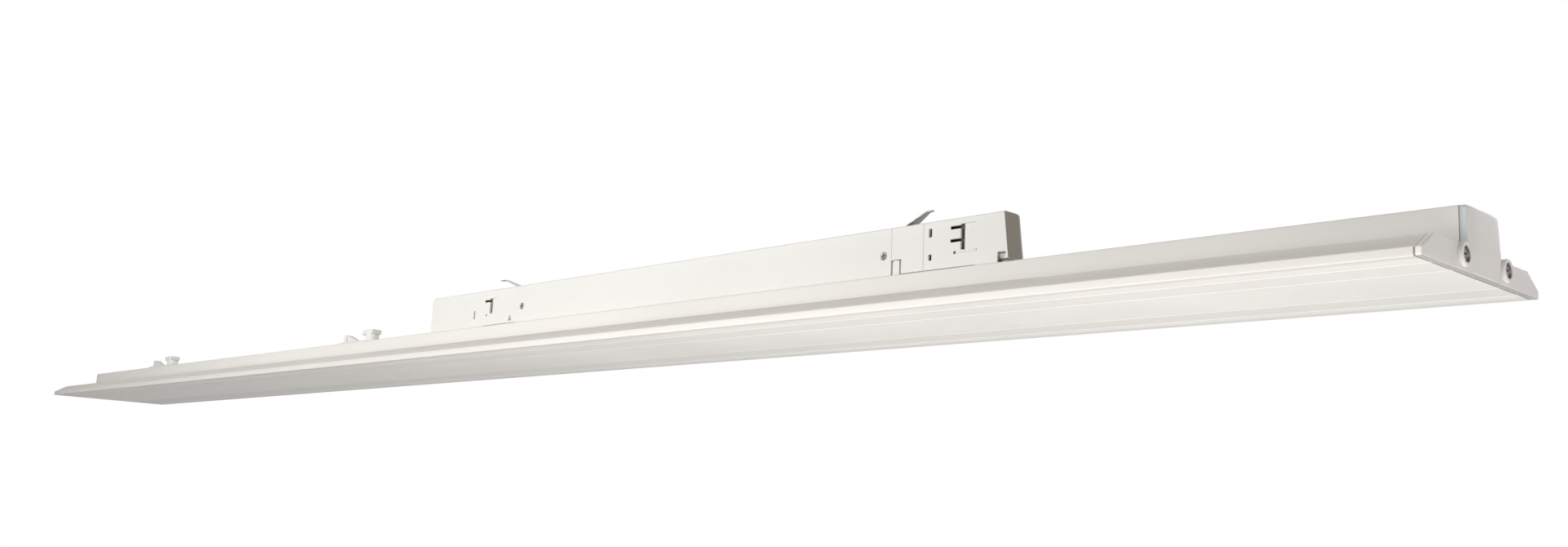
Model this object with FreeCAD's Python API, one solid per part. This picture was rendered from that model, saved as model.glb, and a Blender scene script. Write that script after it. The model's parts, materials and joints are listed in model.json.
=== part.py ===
import FreeCAD
import Part
import math
import os

# Linear track light, in millimetres. X runs along the light, -Y is the front,
# +Z is up, and the origin is under its middle, on the flat lens.

# Housing section
light_length = 1500.0
light_width = 119.0
rim_height = 3.7
slope_run = 12.0
wing_height = 10.7
channel_width = 33.5
channel_height = 27.7
housing_wall = 1.6
port_y = 21.5
port_z = 6.5
port_radius = 3.0
port_notch_length = 8.0

# Lens cover
lens_thickness = 2.0
lens_rim_wall = 2.2
lens_zone_width = 20.0
lens_zone_rise = 2.2
lens_groove_width = 0.8
lens_groove_depth = 0.4
lens_rib_inset = 6.0
lens_rib_wall = 1.2
lens_rib_height = 2.3

# End caps and their screws
cap_depth = 2.8
cap_foot_bulge = 2.2
cap_top_bulge = 1.2
cap_corner_radius = 2.2
boss_radius = 5.0
boss_length = 2.0
boss_seat_depth = 0.6
spigot_depth = 6.0
spigot_wall = 1.6
spigot_height = 13.0
screw_shank_radius = 1.4
screw_head_radius = 3.2
screw_head_height = 2.0
cap_screw_length = 14.0

# Light sources
board_side_gap = 0.5
board_edge_gap = 4.5
board_thickness = 1.2
board_end_margin = 12.0
emitter_length = 3.5
emitter_width = 2.8
emitter_height = 0.7
emitter_pitch = 60.0

# Gear box on the channel
gear_width = 16.0
gear_height = 28.85
gear_right_x = 519.0
gear_back_radius = 6.0
gear_front_radius = 1.0
gear_end_draft = 3.4
end_corner_radius = 4.4
case_length = 365.8
case_wall = 1.5
cover_skirt = 7.5
tongue_length = 12.0
tongue_screw_inset = 5.7
tongue_screw_rise = 13.4
side_screw_length = 7.0
side_screw_head_radius = 2.4
side_screw_head_height = 1.2
ledge_width = 1.2
ledge_height = 2.0

# Right adapter, its lever and its selector
adapter_right_length = 81.0
drum_right_inset = 50.0
handle_length = 4.8
handle_depth = 3.0
handle_height = 8.1
handle_room = 1.3
window_inset = 28.0
window_width = 2.2
window_depth = 3.0
window_low_z = 7.4
window_low_height = 3.3
window_high_z = 20.2
window_high_height = 4.7
seam_inset = 23.3
seam_width = 0.3
seam_depth = 0.2
dial_inset = 8.8
dial_radius = 6.4
dial_height = 2.8
dial_floor = 1.5
dial_lift = 2.5
dial_ribs = 16
dial_rib_depth = 0.7
dial_shaft_radius = 2.5
dial_shaft_length = 11.0
notch_length = 7.4
end_wall_rise = 3.8

# Left adapter and its nose
adapter_left_length = 71.7
drum_left_inset = 36.0
arm_left_length = 21.0
arm_left_room = 11.7
pointer_width = 5.4
pointer_height = 4.2
pointer_rise = 3.8
pointer_offset = 26.6
side_slit_offset = 21.6
side_slit_width = 1.8
side_slit_z = 8.2
side_slit_height = 6.2
nose_length = 47.6
nose_corner_radius = 4.0
tenon_length = 6.0
tenon_width = 9.0
tenon_height = 14.0

# Contact drum, shared by both adapters
hub_radius = 7.6
lever_thickness = 1.6
arm_width = 8.0
drum_radius = 5.9
drum_height = 23.9
blade_reach = 10.8
blade_root = 2.0
blade_width = 1.8
blade_thickness = 1.2
front_blade_high = 23.7
front_blade_low = 16.6
front_blade_left = 20.6
back_blade_high = 20.0
back_blade_low = 12.9
slit_width = 2.2
slit_low = 11.2
slit_high = 25.2
slit_left_high = 22.4
dot_radius = 0.9
dot_offset = 5.0
dot_rise = 10.1
frame_length = 8.0
frame_low = 10.6
frame_depth = 1.0
lip_height = 1.1
lip_depth = 0.6
lip_overhang = 0.8

# Earth springs
spring_width = 8.0
spring_offset = 1.0
spring_tip_width = 2.2
spring_tip_shift = 1.5
spring_thickness = 0.6
spring_leg = 6.0
spring_tip_lift = 0.2
spring_right_inset = 6.8
spring_right_run = 14.3
spring_right_rise = 6.8
spring_right_tip = 3.8
spring_left_inset = 6.5
spring_left_run = 18.0
spring_left_rise = 6.5
spring_left_tip = 7.2

# Track clips
clip_end_inset = 170.0
clip_gear_gap = 107.9
clip_plate_thickness = 3.0
clip_width = 14.0
clip_left_reach = 46.0
clip_right_reach = 15.0
clip_block_length = 6.4
clip_block_width = 6.0
clip_block_height = 9.9
clip_gusset_length = 20.0
clip_gusset_width = 4.0
clip_screw_inset = 3.2
key_flange_radius = 6.0
key_flange_height = 1.0
key_neck_radius = 4.0
key_stem_radius = 5.5
key_stem_height = 5.3
key_bar_height = 3.4
key_bar_width = 8.0
key_long_reach = 12.5
key_short_reach = 7.0

# Driver circuit
driver_board_thickness = 1.6
driver_board_margin = 16.0
transformer_inset = 138.0
transformer_length = 28.0
transformer_width = 11.0
transformer_height = 17.0
transformer_core_wall = 4.0
transformer_coil_radius = 5.0
capacitor_inset = 248.0
capacitor_pitch = 15.0
capacitor_count = 3
capacitor_radius = 5.8
capacitor_height = 18.0
choke_inset = 88.0
choke_radius = 5.8
choke_bore = 2.4
choke_height = 4.4
film_inset = 63.0
film_length = 16.0
film_width = 7.0
film_height = 12.0
terminal_length = 10.0
terminal_width = 10.8
terminal_height = 8.0
terminal_gap = 9.0
terminal_ways = 3
terminal_screw_radius = 1.1
lead_radius = 0.7
supply_pitch = 3.6
fixing_inset = 30.0
fixing_boss_radius = 3.2

# Leads from the driver to the boards
grommet_inset = 188.0
grommet_radius = 4.8
grommet_bore = 3.6
grommet_flange_radius = 6.2
grommet_flange = 1.0
lead_spread = 2.5
lead_bend = 6.0
lead_pad_overlap = 3.0

# Sides of the small round pieces
pin_sides = 8
can_sides = 16

# Clearances
seat_gap = 0.1
fit_gap = 0.15
run_gap = 0.3

# Places worked out from the sizes
half_length = light_length / 2.0
half_width = light_width / 2.0
body_end = half_length - cap_depth
slope_top = half_width - slope_run
half_channel = channel_width / 2.0
inner_channel = half_channel - housing_wall
wing_ceiling = wing_height - housing_wall
board_inner_y = port_y + port_radius + board_side_gap
board_outer_y = slope_top - board_edge_gap
lens_zone_centre = (board_inner_y + board_outer_y) / 2.0
channel_ceiling = channel_height - housing_wall
half_gear = gear_width / 2.0
gear_top = channel_height + gear_height
case_right_x = gear_right_x - adapter_right_length
case_left_x = case_right_x - case_length
transformer_x = case_right_x - transformer_inset
capacitor_x = case_right_x - capacitor_inset
choke_x = case_right_x - choke_inset
film_x = case_right_x - film_inset
grommet_x = case_right_x - grommet_inset
left_seam_x = case_left_x - adapter_left_length
gear_left_x = left_seam_x - nose_length
clip_places = (clip_end_inset - half_length, gear_left_x - clip_gear_gap)
drum_right_x = case_right_x + drum_right_inset
arm_right_end = case_right_x + handle_room
drum_left_x = left_seam_x + drum_left_inset
lever_low = channel_height + run_gap
lever_high = lever_low + lever_thickness
undercut_ceiling = lever_high + run_gap
dial_x = gear_right_x - dial_inset
board_seat = channel_height + case_wall + ledge_height
board_top = board_seat + driver_board_thickness
blade_sweep = math.hypot(blade_reach, blade_width / 2.0) + run_gap


def vec(x, y, z):
    return FreeCAD.Vector(x, y, z)


def box(x0, x1, y0, y1, z0, z1):
    return Part.makeBox(x1 - x0, y1 - y0, z1 - z0, vec(x0, y0, z0))


def upright(x, y, z0, z1, radius):
    return Part.makeCylinder(radius, z1 - z0, vec(x, y, z0))


def rod_x(x0, x1, y, z, radius):
    return Part.makeCylinder(radius, x1 - x0, vec(x0, y, z), vec(1, 0, 0))


def rod_y(x, y0, y1, z, radius):
    return Part.makeCylinder(radius, y1 - y0, vec(x, y0, z), vec(0, 1, 0))


def face_of(points):
    return Part.Face(Part.makePolygon(points + [points[0]]))


def along_x(section, x0, x1):
    """Extrude a closed list of (y, z) points from x0 to x1."""
    return face_of([vec(x0, y, z) for y, z in section]).extrude(vec(x1 - x0, 0, 0))


def along_y(section, y0, y1):
    """Extrude a closed list of (x, z) points from y0 to y1."""
    return face_of([vec(x, y0, z) for x, z in section]).extrude(vec(0, y1 - y0, 0))


def mirrored(right_half):
    """Close a half section, given from the outside in, with its mirror image."""
    return right_half + [(-y, z) for y, z in reversed(right_half)]


def other_end(shape):
    return shape.mirror(vec(0, 0, 0), vec(1, 0, 0))


def placed(shape, origin, direction):
    """Turn a copy of a shape made along +Z to a direction and move it to its place."""
    turn = FreeCAD.Rotation(vec(0, 0, 1), direction)
    copy = shape.copy()
    copy.Placement = FreeCAD.Placement(origin, turn)
    return copy


def many_sided(radius, sides, low, high):
    """Upright prism with a regular section round the origin."""
    turns = [2.0 * math.pi * index / sides for index in range(sides)]
    section = face_of([vec(radius * math.cos(turn), radius * math.sin(turn), low) for turn in turns])
    return section.extrude(vec(0, 0, high - low))


def pin_x(x0, x1, y, z, radius):
    return placed(many_sided(radius, pin_sides, 0.0, x1 - x0), vec(x0, y, z), vec(1, 0, 0))


def pin_up(x, z0, z1, radius):
    return placed(many_sided(radius, pin_sides, z0, z1), vec(x, 0, 0), vec(0, 0, 1))


def can_up(x, z0, z1, radius):
    return placed(many_sided(radius, can_sides, z0, z1), vec(x, 0, 0), vec(0, 0, 1))


def save(node, shape):
    shape.removeSplitter().exportStep("parts/" + node + ".step")


def group(solids):
    return Part.makeCompound(solids)


def save_group(node, solids):
    group(solids).exportStep("parts/" + node + ".step")


# Housing, lens and end caps

def hat_half():
    """Outer half outline from the rim up to the channel's top, as (y, z) points."""
    return [
        (half_width, rim_height),
        (slope_top, wing_height),
        (half_channel, wing_height),
        (half_channel, channel_height),
    ]


def housing_section():
    """Sheet-like hat section with an even wall, open at the bottom."""
    slope_drop = wing_height - rim_height
    slope_length = math.hypot(slope_run, slope_drop)
    run_per_drop = slope_run / slope_drop
    inner_line_y = slope_top - housing_wall * slope_drop / slope_length
    inner_line_z = wing_height - housing_wall * slope_run / slope_length
    ceiling_y = inner_line_y + (inner_line_z - wing_ceiling) * run_per_drop
    edge_y = inner_line_y + (inner_line_z - rim_height) * run_per_drop
    inner_half = [
        (edge_y, rim_height),
        (ceiling_y, wing_ceiling),
        (inner_channel, wing_ceiling),
        (inner_channel, channel_ceiling),
    ]
    return mirrored(hat_half()) + list(reversed(mirrored(inner_half)))


def fixing_places():
    """X places of the screws that hold the gear box on the channel."""
    return [case_left_x + fixing_inset, case_right_x - fixing_inset]


def clip_screw_places():
    """X places of the screws that hold the clip bases on the channel."""
    places = []
    for clip_x in clip_places:
        places.append(clip_x - clip_left_reach + clip_screw_inset)
        places.append(clip_x + clip_right_reach - clip_screw_inset)
    return places


def make_housing():
    shape = along_x(housing_section(), -body_end, body_end)
    for side in (-1, 1):
        port = placed(many_sided(port_radius, can_sides, 0.0, 2.0 * body_end),
                      vec(-body_end, side * port_y, port_z), vec(1, 0, 0))
        crown = box(-body_end, body_end, side * port_y - port_radius, side * port_y + port_radius,
                    wing_ceiling + housing_wall / 2.0, port_z + 2.0 * port_radius)
        shape = shape.fuse(port.cut(crown))
    for side in (-1, 1):
        shape = shape.cut(pin_x(-body_end, body_end, side * port_y, port_z, screw_shank_radius + seat_gap))
        shape = shape.cut(box(grommet_x - port_notch_length / 2.0, grommet_x + port_notch_length / 2.0,
                              side * port_y - 2.0 * port_radius, side * port_y + 2.0 * port_radius,
                              port_z - 2.0 * port_radius, wing_ceiling))
    shape = shape.cut(can_up(grommet_x, channel_ceiling, channel_height, grommet_radius + seat_gap))
    for x in fixing_places() + clip_screw_places():
        shape = shape.cut(pin_up(x, channel_ceiling, channel_height, screw_shank_radius + seat_gap))
    return shape


def lens_section_shape():
    """Flat pane with upright rims, and a thicker convex strip under each row."""
    pane = along_x([(-half_width, 0.0), (half_width, 0.0), (half_width, lens_thickness),
                    (-half_width, lens_thickness)], -body_end, body_end)
    half_zone = lens_zone_width / 2.0
    strip_radius = (half_zone ** 2 + lens_zone_rise ** 2) / (2.0 * lens_zone_rise)
    for side in (-1, 1):
        rim_y = side * (half_width - lens_rim_wall / 2.0)
        pane = pane.fuse(box(-body_end, body_end, rim_y - lens_rim_wall / 2.0, rim_y + lens_rim_wall / 2.0,
                             0.0, rim_height))
        rib_y = side * (half_width - lens_rib_inset)
        pane = pane.fuse(box(-body_end, body_end, rib_y - lens_rib_wall / 2.0, rib_y + lens_rib_wall / 2.0,
                             0.0, lens_thickness + lens_rib_height - run_gap))
        centre = side * lens_zone_centre
        crown_axis_z = lens_thickness + lens_zone_rise - strip_radius
        crown = rod_x(-body_end, body_end, centre, crown_axis_z, strip_radius)
        pane = pane.fuse(crown.common(box(-body_end, body_end, centre - half_zone, centre + half_zone,
                                          0.0, lens_thickness + lens_zone_rise)))
    return pane


def make_lens():
    shape = lens_section_shape()
    half_groove = lens_groove_width / 2.0
    for side in (-1, 1):
        for edge in (-1, 1):
            y = side * lens_zone_centre + edge * lens_zone_width / 2.0
            shape = shape.cut(along_x([(y - half_groove, 0.0), (y + half_groove, 0.0),
                                       (y, lens_groove_depth)], -body_end, body_end))
    return shape


def cap_crown():
    """Drafted, round-edged block over the channel's end."""
    profile = [
        (body_end, 0.0),
        (half_length + cap_foot_bulge / 2.0, 0.0),
        (half_length + cap_foot_bulge, wing_height),
        (half_length + cap_top_bulge, channel_height),
        (body_end, channel_height),
    ]
    block = along_y(profile, -half_channel, half_channel)
    outer_edges = [edge for edge in block.Edges
                   if min(v.X for v in edge.Vertexes) > half_length + cap_top_bulge / 2.0
                   and abs(edge.Vertexes[0].Y - edge.Vertexes[1].Y) < channel_width / 2.0]
    return block.makeFillet(cap_corner_radius, outer_edges)


def cap_spigot():
    """Open frame that slides into the channel behind the cap."""
    half_outer = inner_channel - fit_gap
    top = channel_ceiling - fit_gap
    inner_x = body_end - spigot_depth
    frame = box(inner_x, body_end, -half_outer, half_outer, top - spigot_height, top)
    return frame.cut(box(inner_x, body_end, -half_outer + spigot_wall, half_outer - spigot_wall,
                         top - spigot_height, top - spigot_wall))


def make_end_cap():
    """Right end cap in one piece: hat-shaped plate, crown, bosses and spigot."""
    shape = along_x(mirrored([(half_width, 0.0)] + hat_half()), body_end, half_length)
    shape = shape.fuse(cap_crown()).fuse(cap_spigot())
    boss_end = half_length + boss_length
    for side in (-1, 1):
        shape = shape.fuse(rod_x(body_end, boss_end, side * port_y, port_z, boss_radius))
    for side in (-1, 1):
        y = side * port_y
        shape = shape.cut(pin_x(body_end, boss_end, y, port_z, screw_shank_radius + fit_gap))
        shape = shape.cut(rod_x(half_length - boss_seat_depth, boss_end, y, port_z,
                                screw_head_radius + run_gap))
    return shape


def pan_screw(shank_length):
    """Screw whose flat-bottomed head stands on the origin plane, shank down."""
    head = many_sided(screw_head_radius, pin_sides, 0.0, screw_head_height)
    shank = many_sided(screw_shank_radius, pin_sides, -shank_length, 0.0)
    return head.fuse(shank).removeSplitter()


def flat_screw(shank_length, room):
    """Countersunk screw whose head is level with the origin plane, grown by the room given."""
    head = Part.makeCone(screw_shank_radius + room, side_screw_head_radius + room, side_screw_head_height,
                         vec(0, 0, -side_screw_head_height))
    shank = many_sided(screw_shank_radius + room, pin_sides, -shank_length, -side_screw_head_height / 2.0)
    return head.fuse(shank).removeSplitter()


def end_cap_screws():
    screw = pan_screw(cap_screw_length)
    solids = []
    for end in (-1, 1):
        for side in (-1, 1):
            seat = vec(end * (half_length - boss_seat_depth), side * port_y, port_z)
            solids.append(placed(screw, seat, vec(end, 0, 0)))
    return solids


# Light sources

def make_led_board(side):
    end = body_end - board_end_margin
    half_board = (board_outer_y - board_inner_y) / 2.0
    centre = side * lens_zone_centre
    return box(-end, end, centre - half_board, centre + half_board,
               wing_ceiling - board_thickness, wing_ceiling)


def led_emitters():
    end = body_end - board_end_margin - emitter_pitch / 2.0
    count = int(2.0 * end / emitter_pitch) + 1
    first = -(count - 1) * emitter_pitch / 2.0
    top = wing_ceiling - board_thickness
    solids = []
    for side in (-1, 1):
        y = side * lens_zone_centre
        for index in range(count):
            x = first + index * emitter_pitch
            solids.append(box(x - emitter_length / 2.0, x + emitter_length / 2.0,
                              y - emitter_width / 2.0, y + emitter_width / 2.0,
                              top - emitter_height, top))
    return solids


# Gear box

def at_side_screws(shape):
    """Copies of a screw at the two places in the case's front wall."""
    z = channel_height + tongue_screw_rise
    places = (case_left_x + tongue_screw_inset, case_right_x - tongue_screw_inset)
    return [placed(shape, vec(x, -half_gear, z), vec(0, -1, 0)) for x in places]


def side_screw_holes():
    return group(at_side_screws(flat_screw(side_screw_length + seat_gap, seat_gap)))


def side_screws():
    return at_side_screws(flat_screw(side_screw_length, 0.0))


def gear_face(x, inset, low, high):
    """Gear section with a tight front edge and a large round at the back edge."""
    front = -half_gear + inset
    back = half_gear - inset
    back_radius = gear_back_radius - inset
    front_radius = max(gear_front_radius - inset, gear_front_radius / 4.0)
    lean = math.sqrt(0.5)
    front_centre = vec(x, front + front_radius, high - front_radius)
    back_centre = vec(x, back - back_radius, high - back_radius)
    start = vec(x, front, low)
    front_low = vec(x, front, high - front_radius)
    front_top = vec(x, front + front_radius, high)
    back_top = vec(x, back - back_radius, high)
    back_low = vec(x, back, high - back_radius)
    finish = vec(x, back, low)
    front_middle = front_centre + vec(0, -lean * front_radius, lean * front_radius)
    back_middle = back_centre + vec(0, lean * back_radius, lean * back_radius)
    edges = [
        Part.makeLine(start, front_low),
        Part.Arc(front_low, front_middle, front_top).toShape(),
        Part.makeLine(front_top, back_top),
        Part.Arc(back_top, back_middle, back_low).toShape(),
        Part.makeLine(back_low, finish),
        Part.makeLine(finish, start),
    ]
    return Part.Face(Part.Wire(edges))


def gear_prism(x0, x1, inset):
    face = gear_face(x0, inset, channel_height + inset, gear_top - inset)
    return face.extrude(vec(x1 - x0, 0, 0))


def case_shell():
    outer = gear_prism(case_left_x, case_right_x, 0.0)
    return outer.cut(gear_prism(case_left_x, case_right_x, case_wall))


def make_driver_case():
    """Long tray: full front wall, low back wall, ledges and screw bosses."""
    shape = case_shell()
    shape = shape.cut(box(case_left_x, case_right_x, -half_gear + case_wall, half_gear,
                          gear_top - cover_skirt, gear_top))
    inner = half_gear - case_wall
    ledge_start = case_left_x + driver_board_margin
    ledge_end = case_right_x - driver_board_margin
    for side in (-1, 1):
        y = side * (inner - ledge_width / 2.0)
        shape = shape.fuse(box(ledge_start, ledge_end, y - ledge_width / 2.0, y + ledge_width / 2.0,
                               channel_height + case_wall / 2.0, board_seat))
    for x in fixing_places():
        shape = shape.fuse(can_up(x, channel_height, board_seat, fixing_boss_radius))
        shape = shape.cut(pin_up(x, channel_height, board_seat, screw_shank_radius + seat_gap))
    shape = shape.cut(can_up(grommet_x, channel_height, channel_height + case_wall,
                             grommet_radius + seat_gap))
    return shape.cut(side_screw_holes())


def make_driver_cover():
    """Lid with the rounded back edge and a skirt that stands on the back wall."""
    return case_shell().common(box(case_left_x, case_right_x, -half_gear + case_wall + seat_gap, half_gear,
                                   gear_top - cover_skirt, gear_top))


def tongue(x0, x1):
    return gear_prism(x0, x1, case_wall + fit_gap)


def quarter_slot(x, low, high, start_angle):
    """Room for one blade: its rest place, its quarter turn and its place turned out."""
    height = high - low
    half_room = blade_width / 2.0 + run_gap
    turn = FreeCAD.Rotation(vec(0, 0, 1), start_angle)
    stowed = Part.makeBox(blade_sweep, 2.0 * half_room, height, vec(0, -half_room, 0))
    swept = Part.makeCylinder(blade_sweep, height, vec(0, 0, 0), vec(0, 0, 1), 90.0)
    turned = Part.makeBox(2.0 * half_room, blade_sweep, height, vec(-half_room, 0, 0))
    room = stowed.fuse(swept).fuse(turned)
    room.Placement = FreeCAD.Placement(vec(x, 0, low), turn)
    return room


def right_levels():
    """(height, stowed angle) of each right blade: front ones stow at -X, back ones at +X."""
    return [(front_blade_high, 180.0), (front_blade_low, 180.0),
            (back_blade_high, 0.0), (back_blade_low, 0.0)]


def left_levels():
    return [(front_blade_left, 180.0), (back_blade_low, 0.0)]


def drum_cavity(x, levels, slit_top):
    """Bore for the drum with its blade slots, front slit, dot and shallow frame."""
    cavity = upright(x, 0.0, channel_height, lever_high + drum_height + run_gap, drum_radius + run_gap)
    for rise, angle in levels:
        middle = channel_height + rise
        half_room = blade_thickness / 2.0 + run_gap
        cavity = cavity.fuse(quarter_slot(x, middle - half_room, middle + half_room, angle))
    cavity = cavity.fuse(box(x - slit_width / 2.0, x + slit_width / 2.0, -half_gear, 0.0,
                             channel_height + slit_low, channel_height + slit_top))
    dot = rod_y(x - dot_offset, -half_gear, -half_gear + window_depth, channel_height + dot_rise,
                dot_radius)
    frame_start = x + slit_width / 2.0
    frame = box(frame_start, frame_start + frame_length, -half_gear, -half_gear + frame_depth,
                channel_height + frame_low, channel_height + slit_top)
    return cavity.fuse(dot).fuse(frame)


def contact_lip(x):
    """Small raised lip under the contact frame."""
    start = x - dot_offset + 2.0 * dot_radius
    finish = x + slit_width / 2.0 + frame_length + lip_overhang
    return box(start, finish, -half_gear - lip_depth, -half_gear + frame_depth,
               channel_height + frame_low - lip_height, channel_height + frame_low)


def front_pocket(x, width, low, height, depth):
    return box(x - width / 2.0, x + width / 2.0, -half_gear, -half_gear + depth,
               channel_height + low, channel_height + low + height)


def seam_ring(x):
    """Fine joint line round the section at x."""
    outer = gear_prism(x - seam_width / 2.0, x + seam_width / 2.0, -seam_depth)
    return outer.cut(gear_prism(x - seam_width / 2.0, x + seam_width / 2.0, seam_depth))


def spring_slot(x):
    half_room = spring_thickness / 2.0 + seat_gap
    half_slot = spring_width / 2.0 + seat_gap
    return box(x - half_room, x + half_room, -spring_offset - half_slot, -spring_offset + half_slot,
               gear_top - spring_leg - seat_gap, gear_top)


def drafted_end():
    """Prism of the right adapter's plan, with its back corner rounded, leaned back by the end's draft."""
    low = channel_height - gear_end_draft
    left = case_right_x - gear_height
    centre = vec(gear_right_x - end_corner_radius, half_gear - end_corner_radius, low)
    lean = math.sqrt(0.5) * end_corner_radius
    start = vec(left, -half_gear, low)
    front_end = vec(gear_right_x, -half_gear, low)
    round_start = vec(gear_right_x, half_gear - end_corner_radius, low)
    round_end = vec(gear_right_x - end_corner_radius, half_gear, low)
    back_start = vec(left, half_gear, low)
    plan = Part.Wire([
        Part.makeLine(start, front_end),
        Part.makeLine(front_end, round_start),
        Part.Arc(round_start, centre + vec(lean, lean, 0), round_end).toShape(),
        Part.makeLine(round_end, back_start),
        Part.makeLine(back_start, start),
    ])
    prism = Part.Face(plan).extrude(vec(0, 0, 2.0 * gear_height))
    lean_angle = math.degrees(math.atan2(gear_end_draft, gear_height))
    prism.rotate(vec(gear_right_x, 0, channel_height), vec(0, 1, 0), -lean_angle)
    return prism


def dial_room():
    """Space for the wheel and its shaft, open to the front and back and under the end wall."""
    low = channel_height + dial_floor
    ceiling = low + dial_lift + 2.0 * run_gap + dial_height
    rim = dial_radius + run_gap
    notch_start = gear_right_x - notch_length
    room = upright(dial_x, 0.0, low, ceiling, rim)
    room = room.fuse(upright(dial_x, 0.0, low, ceiling + dial_shaft_length, dial_shaft_radius + run_gap))
    room = room.fuse(box(notch_start, dial_x + rim, -half_gear, half_gear, low, ceiling))
    return room.fuse(box(notch_start, gear_right_x, -half_gear, half_gear, low,
                         channel_height + end_wall_rise))


def make_adapter_right():
    shape = gear_prism(case_right_x, gear_right_x, 0.0).common(drafted_end())
    shape = shape.fuse(tongue(case_right_x - tongue_length, case_right_x))
    slot_end = drum_right_x + hub_radius + handle_room
    shape = shape.cut(box(case_right_x, slot_end, -half_gear, half_gear, channel_height, undercut_ceiling))
    shape = shape.cut(box(case_right_x, arm_right_end + handle_length + handle_room, -half_gear,
                          -half_gear + seat_gap + handle_depth + run_gap,
                          channel_height, lever_high + handle_height + run_gap))
    shape = shape.cut(drum_cavity(drum_right_x, right_levels(), slit_high)).fuse(contact_lip(drum_right_x))
    for low, height in ((window_low_z, window_low_height), (window_high_z, window_high_height)):
        shape = shape.cut(front_pocket(case_right_x + window_inset, window_width, low, height,
                                       window_depth))
    for seam_x in (case_right_x + seam_width / 2.0, case_right_x + seam_inset):
        shape = shape.cut(seam_ring(seam_x))
    shape = shape.cut(dial_room())
    shape = shape.cut(side_screw_holes())
    return shape.cut(spring_slot(case_right_x + spring_right_inset))


def make_adapter_left():
    shape = gear_prism(left_seam_x, case_left_x, 0.0)
    shape = shape.fuse(tongue(case_left_x, case_left_x + tongue_length))
    slot_start = drum_left_x - hub_radius - handle_room
    slot_end = drum_left_x + arm_left_length + arm_left_room
    shape = shape.cut(box(slot_start, slot_end, -half_gear, half_gear, channel_height, undercut_ceiling))
    shape = shape.cut(drum_cavity(drum_left_x, left_levels(), slit_left_high))
    pointer_x = drum_left_x + pointer_offset
    pointer_low = channel_height + pointer_rise
    shape = shape.cut(along_y([(pointer_x - pointer_width / 2.0, pointer_low),
                               (pointer_x + pointer_width / 2.0, pointer_low),
                               (pointer_x, pointer_low + pointer_height)],
                              -half_gear, -half_gear + window_depth))
    shape = shape.cut(front_pocket(drum_left_x - side_slit_offset, side_slit_width, side_slit_z,
                                   side_slit_height, window_depth))
    shape = shape.cut(tenon(seat_gap))
    shape = shape.cut(side_screw_holes())
    return shape.cut(spring_slot(case_left_x - spring_left_inset))


def tenon(room):
    """Block that joins the nose to the left adapter, grown by the room given."""
    low = channel_height + gear_height / 2.0 - tenon_height / 2.0
    return box(left_seam_x, left_seam_x + tenon_length + room, -tenon_width / 2.0 - room,
               tenon_width / 2.0 + room, low - room, low + tenon_height + room)


def make_nose():
    """Plain end with a rounded upper corner."""
    corner = vec(gear_left_x, -half_gear, gear_top - nose_corner_radius)
    arc_end = vec(gear_left_x + nose_corner_radius, -half_gear, gear_top)
    lean = nose_corner_radius * (1.0 - math.sqrt(0.5))
    low_end = vec(gear_left_x, -half_gear, channel_height)
    low_seam = vec(left_seam_x, -half_gear, channel_height)
    top_seam = vec(left_seam_x, -half_gear, gear_top)
    side_view = Part.Face(Part.Wire([
        Part.makeLine(low_end, corner),
        Part.Arc(corner, vec(gear_left_x + lean, -half_gear, gear_top - lean), arc_end).toShape(),
        Part.makeLine(arc_end, top_seam),
        Part.makeLine(top_seam, low_seam),
        Part.makeLine(low_seam, low_end),
    ])).extrude(vec(0, gear_width, 0))
    return gear_prism(gear_left_x, left_seam_x, 0.0).common(side_view).fuse(tenon(0.0))


# Contact drums, blades, dial and springs

def blade(x, rise, angle, room):
    half_thick = blade_thickness / 2.0 + room
    strip = Part.makeBox(blade_reach - blade_root + 2.0 * room, blade_width + 2.0 * room, 2.0 * half_thick,
                         vec(blade_root - room, -blade_width / 2.0 - room, 0))
    place = vec(x, 0, channel_height + rise - half_thick)
    strip.Placement = FreeCAD.Placement(place, FreeCAD.Rotation(vec(0, 0, 1), angle))
    return strip


def drum_blank(x, levels):
    shape = upright(x, 0.0, lever_low, lever_high, hub_radius)
    shape = shape.fuse(upright(x, 0.0, lever_low, lever_high + drum_height, drum_radius))
    for rise, angle in levels:
        shape = shape.cut(blade(x, rise, angle, seat_gap / 2.0))
    return shape


def make_drum_right():
    """Drum, hub, lever arm and upstanding handle in one moulding."""
    front = -half_gear + seat_gap
    arm = box(arm_right_end, drum_right_x, front, front + arm_width, lever_low, lever_high)
    handle = box(arm_right_end, arm_right_end + handle_length, front, front + handle_depth,
                 lever_low, lever_high + handle_height)
    top_edges = [edge for edge in handle.Edges
                 if min(v.Z for v in edge.Vertexes) > lever_high
                 and abs(edge.Vertexes[0].X - edge.Vertexes[1].X) < handle_length / 2.0]
    handle = handle.makeFillet(handle_length / 4.0, top_edges)
    return drum_blank(drum_right_x, right_levels()).fuse(arm).fuse(handle)


def make_drum_left():
    front = -half_gear + seat_gap
    arm = box(drum_left_x, drum_left_x + arm_left_length, front, front + arm_width, lever_low, lever_high)
    return drum_blank(drum_left_x, left_levels()).fuse(arm)


def blade_set(x, levels):
    return [blade(x, rise, angle, 0.0) for rise, angle in levels]


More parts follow.
